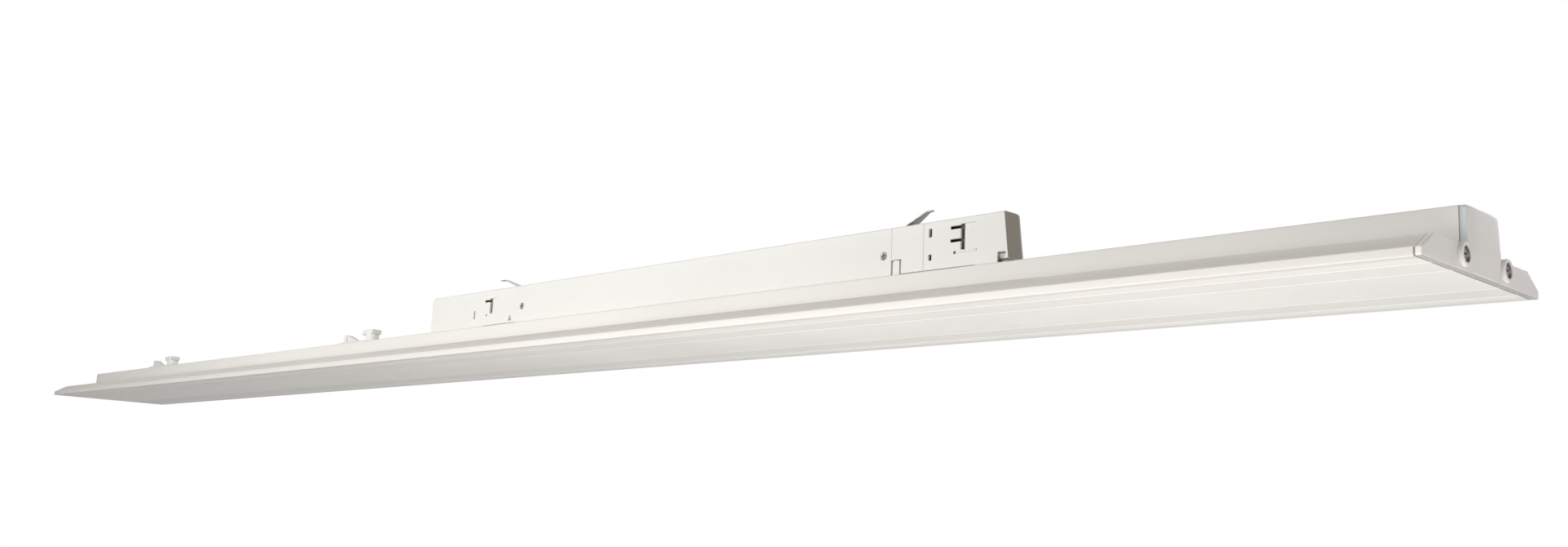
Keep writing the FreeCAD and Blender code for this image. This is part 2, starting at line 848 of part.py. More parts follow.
def make_dial():
    """Knurled wheel on a shaft that stands on the floor and runs up into the adapter."""
    shaft_low = channel_height + dial_floor + run_gap
    low = shaft_low + dial_lift
    shape = upright(dial_x, 0.0, low, low + dial_height, dial_radius)
    shape = shape.fuse(can_up(dial_x, shaft_low, low + dial_height + dial_shaft_length, dial_shaft_radius))
    rim = dial_radius + run_gap
    half_mouth = math.pi * rim / dial_ribs / 2.0
    bottom = dial_radius - dial_rib_depth
    groove = face_of([vec(rim, -half_mouth, 0), vec(rim, half_mouth, 0), vec(bottom, 0, 0)])
    groove = groove.extrude(vec(0, 0, dial_height))
    for index in range(dial_ribs):
        turn = FreeCAD.Rotation(vec(0, 0, 1), 360.0 * index / dial_ribs)
        groove.Placement = FreeCAD.Placement(vec(dial_x, 0, low), turn)
        shape = shape.cut(groove)
    return shape


def strip_section(points, thickness):
    """Offset an open run of (x, z) points to both sides, with mitred corners."""
    left = []
    right = []
    count = len(points)
    for index, (x, z) in enumerate(points):
        before = points[max(index - 1, 0)]
        after = points[min(index + 1, count - 1)]
        angle_in = math.atan2(z - before[1], x - before[0])
        angle_out = math.atan2(after[1] - z, after[0] - x)
        if index == 0:
            angle_in = angle_out
        if index == count - 1:
            angle_out = angle_in
        normal = (angle_in + angle_out) / 2.0 + math.pi / 2.0
        reach = thickness / 2.0 / math.cos((angle_out - angle_in) / 2.0)
        left.append((x + reach * math.cos(normal), z + reach * math.sin(normal)))
        right.append((x - reach * math.cos(normal), z - reach * math.sin(normal)))
    return left + list(reversed(right))


def make_spring(x, way, run, rise, tip):
    """Tapered leaf: a leg in its slot, a rising run and a flat tip, towards way (+1 or -1)."""
    base = gear_top + spring_thickness
    bend_x = x + way * run
    tip_x = bend_x + way * tip
    points = [
        (x, gear_top - spring_leg),
        (x, base),
        (bend_x, base + rise),
        (tip_x, base + rise + spring_tip_lift),
    ]
    half_wide = spring_width / 2.0
    half_tip = spring_tip_width / 2.0
    leaf = along_y(strip_section(points, spring_thickness), -half_wide, half_wide)
    end_x = tip_x + way * spring_thickness
    start_x = x - way * spring_thickness
    plan = [
        vec(start_x, -half_wide, 0),
        vec(x, -half_wide, 0),
        vec(end_x, -spring_tip_shift - half_tip, 0),
        vec(end_x, -spring_tip_shift + half_tip, 0),
        vec(x, half_wide, 0),
        vec(start_x, half_wide, 0),
    ]
    taper = face_of(plan).extrude(vec(0, 0, base + 2.0 * rise))
    return placed(leaf.common(taper), vec(0, -spring_offset, 0), vec(0, 0, 1))


# Driver circuit and leads

def make_driver_board():
    edge = half_gear - case_wall - fit_gap
    return box(case_left_x + driver_board_margin, case_right_x - driver_board_margin, -edge, edge,
               board_seat, board_top)


def make_transformer():
    """Core with two windows round a coil."""
    half_long = transformer_length / 2.0
    half_wide = transformer_width / 2.0
    top = board_top + transformer_height
    wall = transformer_core_wall
    core = box(transformer_x - half_long, transformer_x + half_long, -half_wide, half_wide, board_top, top)
    opening = box(transformer_x - half_long + wall, transformer_x + half_long - wall, -half_wide, half_wide,
                  board_top + wall, top - wall)
    coil = many_sided(transformer_coil_radius, can_sides, wall / 2.0, transformer_length - wall / 2.0)
    coil_start = vec(transformer_x - half_long, 0, board_top + transformer_height / 2.0)
    coil = placed(coil, coil_start, vec(1, 0, 0))
    return core.cut(opening).fuse(coil)


def capacitors():
    top = board_top + capacitor_height
    return [can_up(capacitor_x + index * capacitor_pitch, board_top, top, capacitor_radius)
            for index in range(capacitor_count)]


def make_choke():
    """Wound ring core lying on the board."""
    ring = can_up(choke_x, board_top, board_top + choke_height, choke_radius)
    return ring.cut(can_up(choke_x, board_top, board_top + choke_height, choke_bore))


def make_film_capacitor():
    return box(film_x - film_length / 2.0, film_x + film_length / 2.0, -film_width / 2.0, film_width / 2.0,
               board_top, board_top + film_height)


def terminal_end():
    return case_right_x - tongue_length - terminal_gap


def terminal_level():
    return board_top + terminal_height / 2.0


def way_offset(index):
    return (index - (terminal_ways - 1) / 2.0) * supply_pitch


def make_terminal():
    end = terminal_end()
    shape = box(end - terminal_length, end, -terminal_width / 2.0, terminal_width / 2.0,
                board_top, board_top + terminal_height)
    hole = many_sided(terminal_screw_radius, pin_sides, terminal_level(), board_top + terminal_height)
    for index in range(terminal_ways):
        middle = vec(end - terminal_length / 2.0, way_offset(index), 0)
        shape = shape.cut(placed(hole, middle, vec(0, 0, 1)))
    return shape


def supply_leads():
    finish = case_right_x - tongue_length
    return [pin_x(terminal_end(), finish, way_offset(index), terminal_level(), lead_radius)
            for index in range(terminal_ways)]


def make_grommet():
    low = channel_ceiling - grommet_flange
    shape = can_up(grommet_x, channel_ceiling, channel_height + case_wall, grommet_radius)
    shape = shape.fuse(can_up(grommet_x, low, channel_ceiling, grommet_flange_radius))
    return shape.cut(can_up(grommet_x, low, channel_height + case_wall, grommet_bore))


def board_lead(side):
    """Lead that drops through the grommet and turns out to the board's underside."""
    y = side * lead_spread
    level = wing_ceiling - board_thickness - lead_radius - seat_gap
    route = Part.makePolygon([
        vec(grommet_x, y, board_seat - seat_gap),
        vec(grommet_x, y, level + lead_bend),
        vec(grommet_x, y + side * lead_bend, level),
        vec(grommet_x, side * (board_inner_y + lead_pad_overlap), level),
    ])
    turns = [2.0 * math.pi * index / pin_sides for index in range(pin_sides)]
    corners = [vec(grommet_x + lead_radius * math.cos(turn), y + lead_radius * math.sin(turn),
                   board_seat - seat_gap) for turn in turns]
    section = Part.makePolygon(corners + [corners[0]])
    mitred_corners = 1
    return route.makePipeShell([section], True, False, mitred_corners)


def fixing_screws():
    screw = pan_screw(board_seat - channel_ceiling - seat_gap)
    return [placed(screw, vec(x, 0, channel_ceiling), vec(0, 0, -1)) for x in fixing_places()]


# Track clips

def make_clip_base(clip_x):
    """Plate with an end block, a gusset and the seat of the turning key."""
    low = channel_height
    plate_top = low + clip_plate_thickness
    left = clip_x - clip_left_reach
    right = clip_x + clip_right_reach
    block_end = left + clip_block_length
    block_top = low + clip_block_height
    shape = box(left, right, -clip_width / 2.0, clip_width / 2.0, low, plate_top)
    profile = [(left, low), (block_end, low), (block_end, block_top),
               (left + clip_block_length / 3.0, block_top)]
    shape = shape.fuse(along_y(profile, -clip_block_width / 2.0, clip_block_width / 2.0))
    gusset = [(block_end, plate_top), (block_end + clip_gusset_length, plate_top), (block_end, block_top)]
    shape = shape.fuse(along_y(gusset, -clip_gusset_width / 2.0, clip_gusset_width / 2.0))
    shape = shape.cut(upright(clip_x, 0.0, low, plate_top, key_neck_radius + run_gap))
    shape = shape.cut(upright(clip_x, 0.0, low, low + key_flange_height + 2.0 * run_gap,
                              key_flange_radius + run_gap))
    for x in (left + clip_screw_inset, right - clip_screw_inset):
        shape = shape.cut(pin_up(x, low, plate_top, screw_shank_radius + seat_gap))
    return shape


def make_clip_key(clip_x):
    """Key: captive flange, neck, stem and a bar whose long side locks under the track."""
    flange_low = channel_height + run_gap
    flange_high = flange_low + key_flange_height
    stem_low = channel_height + clip_plate_thickness + run_gap
    bar_low = stem_low + key_stem_height
    bar_high = bar_low + key_bar_height
    half_bar = key_bar_width / 2.0
    shape = can_up(clip_x, flange_low, flange_high, key_flange_radius)
    shape = shape.fuse(can_up(clip_x, flange_low, stem_low, key_neck_radius))
    shape = shape.fuse(upright(clip_x, 0.0, stem_low, bar_high, key_stem_radius))
    bar = box(clip_x - key_long_reach, clip_x + key_short_reach, -half_bar, half_bar, bar_low, bar_high)
    long_end = [edge for edge in bar.Edges
                if max(v.X for v in edge.Vertexes) < clip_x
                and abs(edge.Vertexes[0].Z - edge.Vertexes[1].Z) > key_bar_height / 2.0]
    bar = bar.makeFillet(key_bar_width / 4.0, long_end)
    return shape.fuse(bar)


def clip_screws():
    screw = pan_screw(housing_wall + clip_plate_thickness - seat_gap)
    return [placed(screw, vec(x, 0, channel_ceiling), vec(0, 0, -1)) for x in clip_screw_places()]


def main():
    os.makedirs("parts", exist_ok=True)
    save("housing_extrusion", make_housing())
    save("lens_cover", make_lens())
    right_cap = make_end_cap()
    save("end_cap_right", right_cap)
    save("end_cap_left", other_end(right_cap))
    save_group("end_cap_screws", end_cap_screws())
    save("led_board_front", make_led_board(-1))
    save("led_board_back", make_led_board(1))
    save_group("led_emitters", led_emitters())
    save("driver_case", make_driver_case())
    save("driver_cover", make_driver_cover())
    save("adapter_body_right", make_adapter_right())
    save("adapter_body_left", make_adapter_left())
    save("adapter_nose_left", make_nose())
    save_group("adapter_side_screws", side_screws())
    save("contact_drum_right", make_drum_right())
    save("contact_drum_left", make_drum_left())
    save_group("contact_blades_right", blade_set(drum_right_x, right_levels()))
    save_group("contact_blades_left", blade_set(drum_left_x, left_levels()))
    save("phase_selector_dial", make_dial())
    save("earth_spring_right", make_spring(case_right_x + spring_right_inset, 1, spring_right_run,
                                           spring_right_rise, spring_right_tip))
    save("earth_spring_left", make_spring(case_left_x - spring_left_inset, -1, spring_left_run,
                                          spring_left_rise, spring_left_tip))
    save("driver_board", make_driver_board())
    save("driver_transformer", make_transformer())
    save_group("driver_capacitors", capacitors())
    save("driver_choke", make_choke())
    save("driver_film_capacitor", make_film_capacitor())
    save("driver_terminal", make_terminal())
    save_group("supply_leads", supply_leads())
    save("lead_grommet", make_grommet())
    save_group("led_leads", [board_lead(-1), board_lead(1)])
    save_group("driver_fixing_screws", fixing_screws())
    for number, clip_x in enumerate(clip_places, start=1):
        save("clip_base_" + str(number), make_clip_base(clip_x))
        save("clip_key_" + str(number), make_clip_key(clip_x))
    save_group("clip_screws", clip_screws())


main()
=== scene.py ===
"""Dressed model of a long white linear track light: finishes, detailed pieces, studio and camera."""

import functools
import json
import logging
from dataclasses import dataclass, field
from enum import Enum

import bmesh
import bpy
import numpy as np
from mathutils import Matrix, Vector


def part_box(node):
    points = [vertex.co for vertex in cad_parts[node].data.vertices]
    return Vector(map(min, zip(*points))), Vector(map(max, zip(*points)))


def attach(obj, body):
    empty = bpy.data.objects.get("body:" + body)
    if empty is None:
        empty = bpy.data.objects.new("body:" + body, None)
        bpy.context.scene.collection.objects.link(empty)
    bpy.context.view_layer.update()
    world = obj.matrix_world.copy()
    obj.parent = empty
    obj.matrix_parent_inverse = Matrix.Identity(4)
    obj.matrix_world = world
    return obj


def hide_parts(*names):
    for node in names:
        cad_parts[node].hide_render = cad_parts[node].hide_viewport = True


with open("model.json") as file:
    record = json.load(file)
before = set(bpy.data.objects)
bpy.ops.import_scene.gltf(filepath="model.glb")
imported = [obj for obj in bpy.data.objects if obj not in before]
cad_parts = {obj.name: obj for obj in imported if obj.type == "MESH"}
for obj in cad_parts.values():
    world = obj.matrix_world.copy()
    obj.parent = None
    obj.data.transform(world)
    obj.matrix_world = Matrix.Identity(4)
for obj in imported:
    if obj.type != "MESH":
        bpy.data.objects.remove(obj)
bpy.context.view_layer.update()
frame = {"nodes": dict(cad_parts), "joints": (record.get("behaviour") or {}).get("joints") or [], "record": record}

Vec3 = tuple[float, float, float]
Array = np.ndarray
Shape = tuple[Array, list]
Node = bpy.types.Node
Socket = bpy.types.NodeSocket
Tree = bpy.types.NodeTree

MM = 0.001
LOG = logging.getLogger("track_light")

# Shading: noises, limits of masks, swing of gloss, reach of scatter, samples of an edge, white.
GRAIN_DETAIL = 3.0
DRIFT_DETAIL = 4.0
DRIFT_SCALE = 9.0
DRIFT_RANGE = (0.3, 0.7)
FACING_RANGE = (0.6, 0.8)
GLOSS_SWING = 0.25
SCATTER_REACH = 2.0 * MM
EDGE_SAMPLES = 4
WHITE = (1.0, 1.0, 1.0, 1.0)

# Meshes: distance for welding points, angle of sharp edges, rings along the light.
WELD = 0.0005 * MM
SHARP_ANGLE = np.radians(35.0)
STATIONS = 41

# Places: both sides of a middle plane, the screw ports, and a place beyond the light's end.
SIDES = (-1.0, 1.0)
BOSS_PLACES = tuple((end, side) for end in SIDES for side in SIDES)
PORT_Y = 21.5 * MM
PORT_Z = 6.5 * MM
PAST_END = 0.76


@dataclass
class NodeSketch:
    """Short-hand for placing and joining shader nodes.

    Attributes:
        tree: The tree that the nodes go into.
    """

    tree: Tree

    def add(self, kind: str, **settings: object) -> Node:
        """Place one node of this kind, with these properties."""
        node = self.tree.nodes.new(kind)
        for key, value in settings.items():
            setattr(node, key, value)
        return node

    def put(self, socket: Socket, value: object) -> None:
        """Join a socket to another, or set its own value."""
        if isinstance(value, Socket):
            self.tree.links.new(value, socket)
        else:
            socket.default_value = value

    def wire(self, node: Node, **inputs: object) -> Node:
        """Set or join a node's inputs by name, with underscores for spaces, and give the node."""
        for key, value in inputs.items():
            self.put(node.inputs[key.replace("_", " ")], value)
        return node

    def fill(self, kind: str, values: tuple, **settings: object) -> Node:
        """Place one node and set or join its first inputs in order."""
        node = self.add(kind, **settings)
        for socket, value in zip(node.inputs, values):
            self.put(socket, value)
        return node

    def math(self, operation: str, *values: object) -> Socket:
        """Place a Math node on these values and give its result."""
        return self.fill("ShaderNodeMath", values, operation=operation).outputs[0]

    def vector(self, operation: str, *values: object) -> Node:
        """Place a Vector Math node on these values."""
        return self.fill("ShaderNodeVectorMath", values, operation=operation)

    def blend(self, share: object, *shaders: Socket) -> Socket:
        """Mix two shaders, with this share of the second, and give the result."""
        return self.fill("ShaderNodeMixShader", (share, *shaders)).outputs[0]

    def tint(self, share: object, first: object, second: object) -> Socket:
        """Mix two colours, with this share of the second, and give the result."""
        node = self.add("ShaderNodeMix", data_type="RGBA")
        sockets = {socket.identifier: socket for socket in (*node.inputs, *node.outputs)}
        for key, value in (("Factor_Float", share), ("A_Color", first), ("B_Color", second)):
            self.put(sockets[key], value)
        return sockets["Result_Color"]

    def place(self) -> Socket:
        """Give the place in the piece's own coordinates."""
        return self.add("ShaderNodeTexCoord").outputs["Object"]

    def noise(self, place: Socket, scale: object, detail: float) -> Socket:
        """Place a noise texture and give its value."""
        node = self.wire(self.add("ShaderNodeTexNoise"), Vector=place, Scale=scale, Detail=detail)
        return node.outputs["Fac"]

    def ramp(self, value: Socket, low: object, high: float, start: float, end: float) -> Socket:
        """Carry a value smoothly from low..high to start..end and give the result."""
        values = (value, low, high, start, end)
        return self.fill("ShaderNodeMapRange", values, interpolation_type="SMOOTHSTEP").outputs[0]

    def group(self, tree: Tree, **inputs: object) -> Node:
        """Place a shared group with its own values."""
        return self.wire(self.add("ShaderNodeGroup", node_tree=tree), **inputs)


def new_group(name: str, inputs: dict[str, str], outputs: dict[str, str]) -> tuple[NodeSketch, dict, dict]:
    """Start a node group from its sockets' types; give its sketch, and its inputs and outputs by name."""
    tree = bpy.data.node_groups.new(name, "ShaderNodeTree")
    for way, sockets in (("INPUT", inputs), ("OUTPUT", outputs)):
        for key, kind in sockets.items():
            tree.interface.new_socket(key, in_out=way, socket_type="NodeSocket" + kind)
    sketch = NodeSketch(tree)
    given = sketch.add("NodeGroupInput").outputs
    wanted = sketch.add("NodeGroupOutput").inputs
    return sketch, {key: given[key] for key in inputs}, {key: wanted[key] for key in outputs}


@functools.cache
def surface_grain() -> Tree:
    """Fine relief: noise on the piece's own coordinates, stretched along the way it was made."""
    sketch, given, wanted = new_group(
        "surface_grain", {"Stretch": "Vector", "Scale": "Float"}, {"Height": "Float"})
    stretched = sketch.vector("MULTIPLY", sketch.place(), given["Stretch"]).outputs[0]
    sketch.put(wanted["Height"], sketch.noise(stretched, given["Scale"], GRAIN_DETAIL))
    return sketch.tree


@functools.cache
def tone_drift() -> Tree:
    """Slow change of tone: colour times one plus or minus the amount, and the mask behind it."""
    sketch, given, wanted = new_group(
        "tone_drift", {"Color": "Color", "Amount": "Float"}, {"Color": "Color", "Mask": "Float"})
    noise = sketch.noise(sketch.place(), DRIFT_SCALE, DRIFT_DETAIL)
    mask = sketch.ramp(noise, *DRIFT_RANGE, 0.0, 1.0)
    swing = sketch.math("MULTIPLY_ADD", mask, 2.0, -1.0)
    gain = sketch.math("MULTIPLY_ADD", swing, given["Amount"], 1.0)
    scaled = sketch.vector("SCALE", given["Color"])
    sketch.put(scaled.inputs["Scale"], gain)
    sketch.put(wanted["Color"], scaled.outputs[0])
    sketch.put(wanted["Mask"], mask)
    return sketch.tree


@functools.cache
def box_zone() -> Tree:
    """Mask of a box: one inside, nought outside, from the largest of |place - centre| - half."""
    sketch, given, wanted = new_group(
        "box_zone", {"Centre": "Vector", "Half": "Vector", "Soft": "Float"}, {"Mask": "Float"})
    offset = sketch.vector("SUBTRACT", sketch.place(), given["Centre"]).outputs[0]
    reach = sketch.vector("ABSOLUTE", offset).outputs[0]
    beyond = sketch.vector("SUBTRACT", reach, given["Half"]).outputs[0]
    parts = sketch.wire(sketch.add("ShaderNodeSeparateXYZ"), Vector=beyond).outputs
    furthest = sketch.math("MAXIMUM", sketch.math("MAXIMUM", parts[0], parts[1]), parts[2])
    edge = sketch.math("MULTIPLY", given["Soft"], -1.0)
    sketch.put(wanted["Mask"], sketch.ramp(furthest, edge, 0.0, 1.0, 0.0))
    return sketch.tree


@functools.cache
def facing_zone() -> Tree:
    """Mask of the faces that look along an axis, from the normal's share of that axis."""
    sketch, given, wanted = new_group("facing_zone", {"Axis": "Vector"}, {"Mask": "Float"})
    normal = sketch.add("ShaderNodeNewGeometry").outputs["Normal"]
    share = sketch.vector("DOT_PRODUCT", normal, given["Axis"]).outputs["Value"]
    sketch.put(wanted["Mask"], sketch.ramp(share, *FACING_RANGE, 0.0, 1.0))
    return sketch.tree


class Surface(Enum):
    """How a surface was made, as the stretch of its grain along X, Y and Z."""

    MOULDED = (1.0, 1.0, 1.0)
    DRAWN = (0.01, 1.0, 1.0)
    ROLLED = (1.0, 0.05, 1.0)


@dataclass(frozen=True)
class Zone:
    """Box-shaped stretch of a finish with another colour.

    Attributes:
        corner: One corner in metres.
        opposite: The corner across the box from it.
        color: Colour inside the box.
        facing: Axis that the coloured faces look along, or None for all faces.
        soft: Width of the box's soft edge.
    """

    corner: Vec3
    opposite: Vec3
    color: Vec3
    facing: Vec3 | None = None
    soft: float = 0.4 * MM

    def mask(self, sketch: NodeSketch) -> Socket:
        """Build the zone's mask in a material's tree: one in the zone and nought outside."""
        corner, opposite = Vector(self.corner), Vector(self.opposite)
        half = Vector([abs(side) for side in (opposite - corner) / 2])
        box = sketch.group(box_zone(), Centre=(corner + opposite) / 2, Half=half, Soft=self.soft)
        if self.facing is None:
            return box.outputs[0]
        faces = sketch.group(facing_zone(), Axis=self.facing)
        return sketch.math("MULTIPLY", box.outputs[0], faces.outputs[0])


@dataclass(frozen=True)
class Finish:
    """One material of the light.

    Attributes:
        slot: The record's material slot that it dresses.
        color: Base colour.
        roughness: Middle roughness.
        surface: How the surface was made.
        grain_scale: Grains per metre.
        grain_depth: Height of the grain in metres.
        drift: Share by which the tone changes over a piece.
        metallic: One for bare metal.
        scatter: Share of light that spreads inside the material.
        specular: Strength of the mirror-like share of the light.
        edge: Radius at which sharp edges catch the light.
        zones: Stretches with another colour.
    """

    slot: str
    color: Vec3
    roughness: float
    surface: Surface = Surface.MOULDED
    grain_scale: float = 1500.0
    grain_depth: float = 0.02 * MM
    drift: float = 0.02
    metallic: float = 0.0
    scatter: float = 0.0
    specular: float = 0.5
    edge: float = 0.3 * MM
    zones: tuple[Zone, ...] = ()

    def material(self) -> bpy.types.Material:
        """Build the node material: tone, zones, varying gloss, grain and soft edges.

        Returns:
            The new material, named for its slot.
        """
        made = bpy.data.materials.new(self.slot)
        made.use_nodes = True
        made.node_tree.nodes.clear()
        sketch = NodeSketch(made.node_tree)
        shader = sketch.add("ShaderNodeBsdfPrincipled")
        sketch.wire(shader, Metallic=self.metallic, Subsurface_Weight=self.scatter,
                    Subsurface_Scale=SCATTER_REACH, Specular_IOR_Level=self.specular)
        tone = sketch.group(tone_drift(), Color=(*self.color, 1.0), Amount=self.drift).outputs
        color = tone["Color"]
        for zone in self.zones:
            color = sketch.tint(zone.mask(sketch), color, (*zone.color, 1.0))
        gloss = sketch.math("MULTIPLY_ADD", tone["Mask"], GLOSS_SWING * self.roughness,
                            (1.0 - GLOSS_SWING / 2.0) * self.roughness)
        grain = sketch.group(surface_grain(), Stretch=self.surface.value, Scale=self.grain_scale).outputs[0]
        edges = sketch.wire(sketch.add("ShaderNodeBevel", samples=EDGE_SAMPLES), Radius=self.edge).outputs[0]
        relief = sketch.wire(sketch.add("ShaderNodeBump"), Height=grain, Distance=self.grain_depth,
                             Normal=edges)
        sketch.wire(shader, Base_Color=color, Roughness=gloss, Normal=relief.outputs[0])
        sketch.wire(sketch.add("ShaderNodeOutputMaterial"), Surface=shader.outputs[0])
        return made


# Colours of the zones, the slots' levels, the seats' half width and the strips' normal. Most zone colours are
# painted shade: in the contact slots and the dial's notch, on the gear's end face, in the screw seats, under the
# caps, on the sloped strips and along the lens edges.
SLOT_PAINTED_SHADE = (0.12, 0.11, 0.085)
FAINT_PAINTED_SHADE = (0.36, 0.345, 0.31)
NOTCH_PAINTED_SHADE = (0.45, 0.43, 0.38)
END_FACE_PAINTED_SHADE = (0.265, 0.240, 0.195)
SEAT_PAINTED_SHADE = (0.27, 0.255, 0.235)
UNDERSIDE_PAINTED_SHADE = (0.45, 0.43, 0.405)
STRIP_PAINTED_SHADE = (0.79, 0.748, 0.68)
LENS_EDGE_PAINTED_SHADE = (0.71, 0.686, 0.64)
ROW_TONE = (0.765, 0.742, 0.695)
FAINT_TONE = (0.79, 0.766, 0.72)
SLOT_LOW, SLOT_HIGH = 0.0345, 0.0545
SEAT_HALF = 3.6 * MM
STRIP_OUT, STRIP_UP = 0.504, 0.864

GEAR_PAINTED_SHADE_ZONES = (
    # Painted shade in the right adapter's contact slots.
    Zone((0.4500, -0.0068, SLOT_LOW), (0.5080, 0.0068, SLOT_HIGH), SLOT_PAINTED_SHADE),
    # Lighter painted shade in the left adapter's contact slots.
    Zone((0.0030, -0.0068, SLOT_LOW), (0.0680, 0.0068, SLOT_HIGH), FAINT_PAINTED_SHADE),
    # Painted shade in the dial's notch and the gap beneath the dial.
    Zone((0.5030, -0.0079, 0.0289), (0.5172, 0.0079, 0.0335), NOTCH_PAINTED_SHADE),
    # Painted shade on the gear's end face, which looks along +X.
    Zone((0.5130, -0.0085, 0.0312), (0.5200, 0.0085, 0.0570), END_FACE_PAINTED_SHADE, facing=(1.0, 0.0, 0.0)),
)
# Painted shade on the drums inside the contact slots: darker on the right, lighter on the left.
DRUM_PAINTED_SHADE_ZONES = (
    Zone((0.4800, -0.0064, SLOT_LOW), (0.4960, 0.0064, SLOT_HIGH), SLOT_PAINTED_SHADE),
    Zone((0.0285, -0.0064, SLOT_LOW), (0.0445, 0.0064, SLOT_HIGH), FAINT_PAINTED_SHADE),
)
# Painted shade in the end caps' screw seats.
SEAT_PAINTED_SHADE_ZONES = tuple(
    Zone((end * 0.7490, side * PORT_Y - SEAT_HALF, PORT_Z - SEAT_HALF),
         (end * 0.7517, side * PORT_Y + SEAT_HALF, PORT_Z + SEAT_HALF), SEAT_PAINTED_SHADE)
    for end, side in BOSS_PLACES)
# Painted shade on the end caps' undersides.
UNDERSIDE_PAINTED_SHADE_ZONES = tuple(
    Zone((end * 0.746, -0.06, -0.005), (end * 0.7504, 0.06, 0.001), UNDERSIDE_PAINTED_SHADE,
         facing=(0.0, 0.0, -1.0))
    for end in SIDES)
# Painted shade, warm-tinted, on the housing's sloped strips that face up and out.
STRIP_PAINTED_SHADE_ZONES = tuple(
    Zone((-PAST_END, side * 0.0455, 0.001), (PAST_END, side * 0.06, 0.0112), STRIP_PAINTED_SHADE,
         facing=(0.0, side * STRIP_OUT, STRIP_UP), soft=0.8 * MM)
    for side in SIDES)
# Lens bands: slightly darker under the LED rows, and painted shade along both edges.
LENS_ROW_BANDS_AND_EDGE_SHADE = tuple(
    Zone((-PAST_END, near, -0.02), (PAST_END, far, 0.02), tone, soft=2.5 * MM)
    for near, far, tone in ((-0.064, -0.053, LENS_EDGE_PAINTED_SHADE), (-0.0445, -0.0235, FAINT_TONE),
                            (0.0235, 0.0445, ROW_TONE), (0.0515, 0.064, LENS_EDGE_PAINTED_SHADE)))

FINISHES = (
    Finish("housing_paint", (0.86, 0.838, 0.79), 0.45, Surface.DRAWN, 500.0, 0.004 * MM, specular=0.25,
           zones=STRIP_PAINTED_SHADE_ZONES),
    Finish("lens_opal", (0.82, 0.797, 0.75), 0.42, Surface.DRAWN, 260.0, 0.02 * MM, scatter=0.2,
           specular=0.25, zones=LENS_ROW_BANDS_AND_EDGE_SHADE),
    Finish("cap_plastic", (0.82, 0.782, 0.74), 0.40, grain_depth=0.008 * MM, scatter=0.25, specular=0.3,
           edge=0.5 * MM, zones=SEAT_PAINTED_SHADE_ZONES + UNDERSIDE_PAINTED_SHADE_ZONES),
    Finish("gear_plastic", (0.86, 0.846, 0.80), 0.45, specular=0.35, zones=GEAR_PAINTED_SHADE_ZONES),
    Finish("lever_plastic", (0.86, 0.846, 0.80), 0.42, specular=0.35, zones=DRUM_PAINTED_SHADE_ZONES),
    Finish("clip_plastic", (0.84, 0.828, 0.79), 0.38, edge=0.4 * MM),
    Finish("screw_steel", (0.30, 0.295, 0.285), 0.45, grain_depth=0.01 * MM, metallic=1.0, drift=0.08),
    Finish("spring_steel", (0.48, 0.47, 0.445), 0.38, Surface.ROLLED, 2500.0, 0.01 * MM, 0.1, 1.0),
    Finish("contact_brass", (0.72, 0.58, 0.30), 0.3, Surface.ROLLED, 2500.0, 0.01 * MM, 0.1, 1.0),
    Finish("board_white", (0.85, 0.85, 0.85), 0.4, drift=0.03),
    Finish("emitter_phosphor", (0.90, 0.80, 0.35), 0.35, drift=0.04),
    Finish("board_green", (0.06, 0.25, 0.12), 0.4, drift=0.12),
    Finish("ferrite", (0.08, 0.08, 0.09), 0.6, grain_depth=0.05 * MM, drift=0.1),
    Finish("capacitor_sleeve", (0.05, 0.06, 0.10), 0.3, drift=0.08),
    Finish("film_case", (0.55, 0.32, 0.10), 0.3, drift=0.06),
    Finish("terminal_plastic", (0.35, 0.36, 0.37), 0.45, drift=0.04),
    Finish("lead_insulation", (0.75, 0.75, 0.73), 0.5, drift=0.05),
    Finish("grommet_rubber", (0.06, 0.06, 0.06), 0.65, grain_depth=0.04 * MM, drift=0.1),
)
FLOOR_PAPER = Finish("floor_paper", (0.93, 0.93, 0.93), 0.8, drift=0.01)


def unit_rows(rows: Array) -> Array:
    """Bring each row to length one."""
    return rows / np.linalg.norm(rows, axis=1, keepdims=True)


def whole_turn(points: int) -> Array:
    """Angles of a whole turn, without its end."""
    return np.linspace(0.0, 2.0 * np.pi, points, endpoint=False)


def soft_edge(radius: float, steps: int = 7) -> tuple[Array, Array]:
    """Quarter circle of a rounded edge: how far in and how far along its points lie."""
    turn = np.linspace(0.0, np.pi / 2.0, steps)
    return radius * (1.0 - np.cos(turn)), radius * np.sin(turn)


def rounded(points: Array, radii: Array, steps: int = 5) -> Array:
    """Round the corners of a closed polygon.

    Each corner C between tangent points P and Q becomes the curve
    ((1-s)^2 P + 2 w s (1-s) C + s^2 Q) / ((1-s)^2 + 2 w s (1-s) + s^2),
    with w the sine of half the corner's angle, which is an arc of a circle.

    Args:
        points: Corners, one row each.
        radii: Radius at each corner.
        steps: Points on each arc.

    Returns:
        The rounded outline, one row a point.
    """
    before = unit_rows(np.roll(points, 1, axis=0) - points)
    after = unit_rows(np.roll(points, -1, axis=0) - points)
    half = np.arccos(np.clip((before * after).sum(axis=1), -1.0, 1.0)) / 2.0
    reach = (radii / np.tan(half))[:, None]
    weight = np.sin(half)[:, None, None]
    s = np.linspace(0.0, 1.0, steps)[None, :, None]
    first, middle, last = (1.0 - s) ** 2, 2.0 * weight * s * (1.0 - s), s ** 2
    start, finish = (points + before * reach)[:, None, :], (points + after * reach)[:, None, :]
    curve = (first * start + middle * points[:, None, :] + last * finish) / (first + middle + last)
    return curve.reshape(-1, points.shape[1])


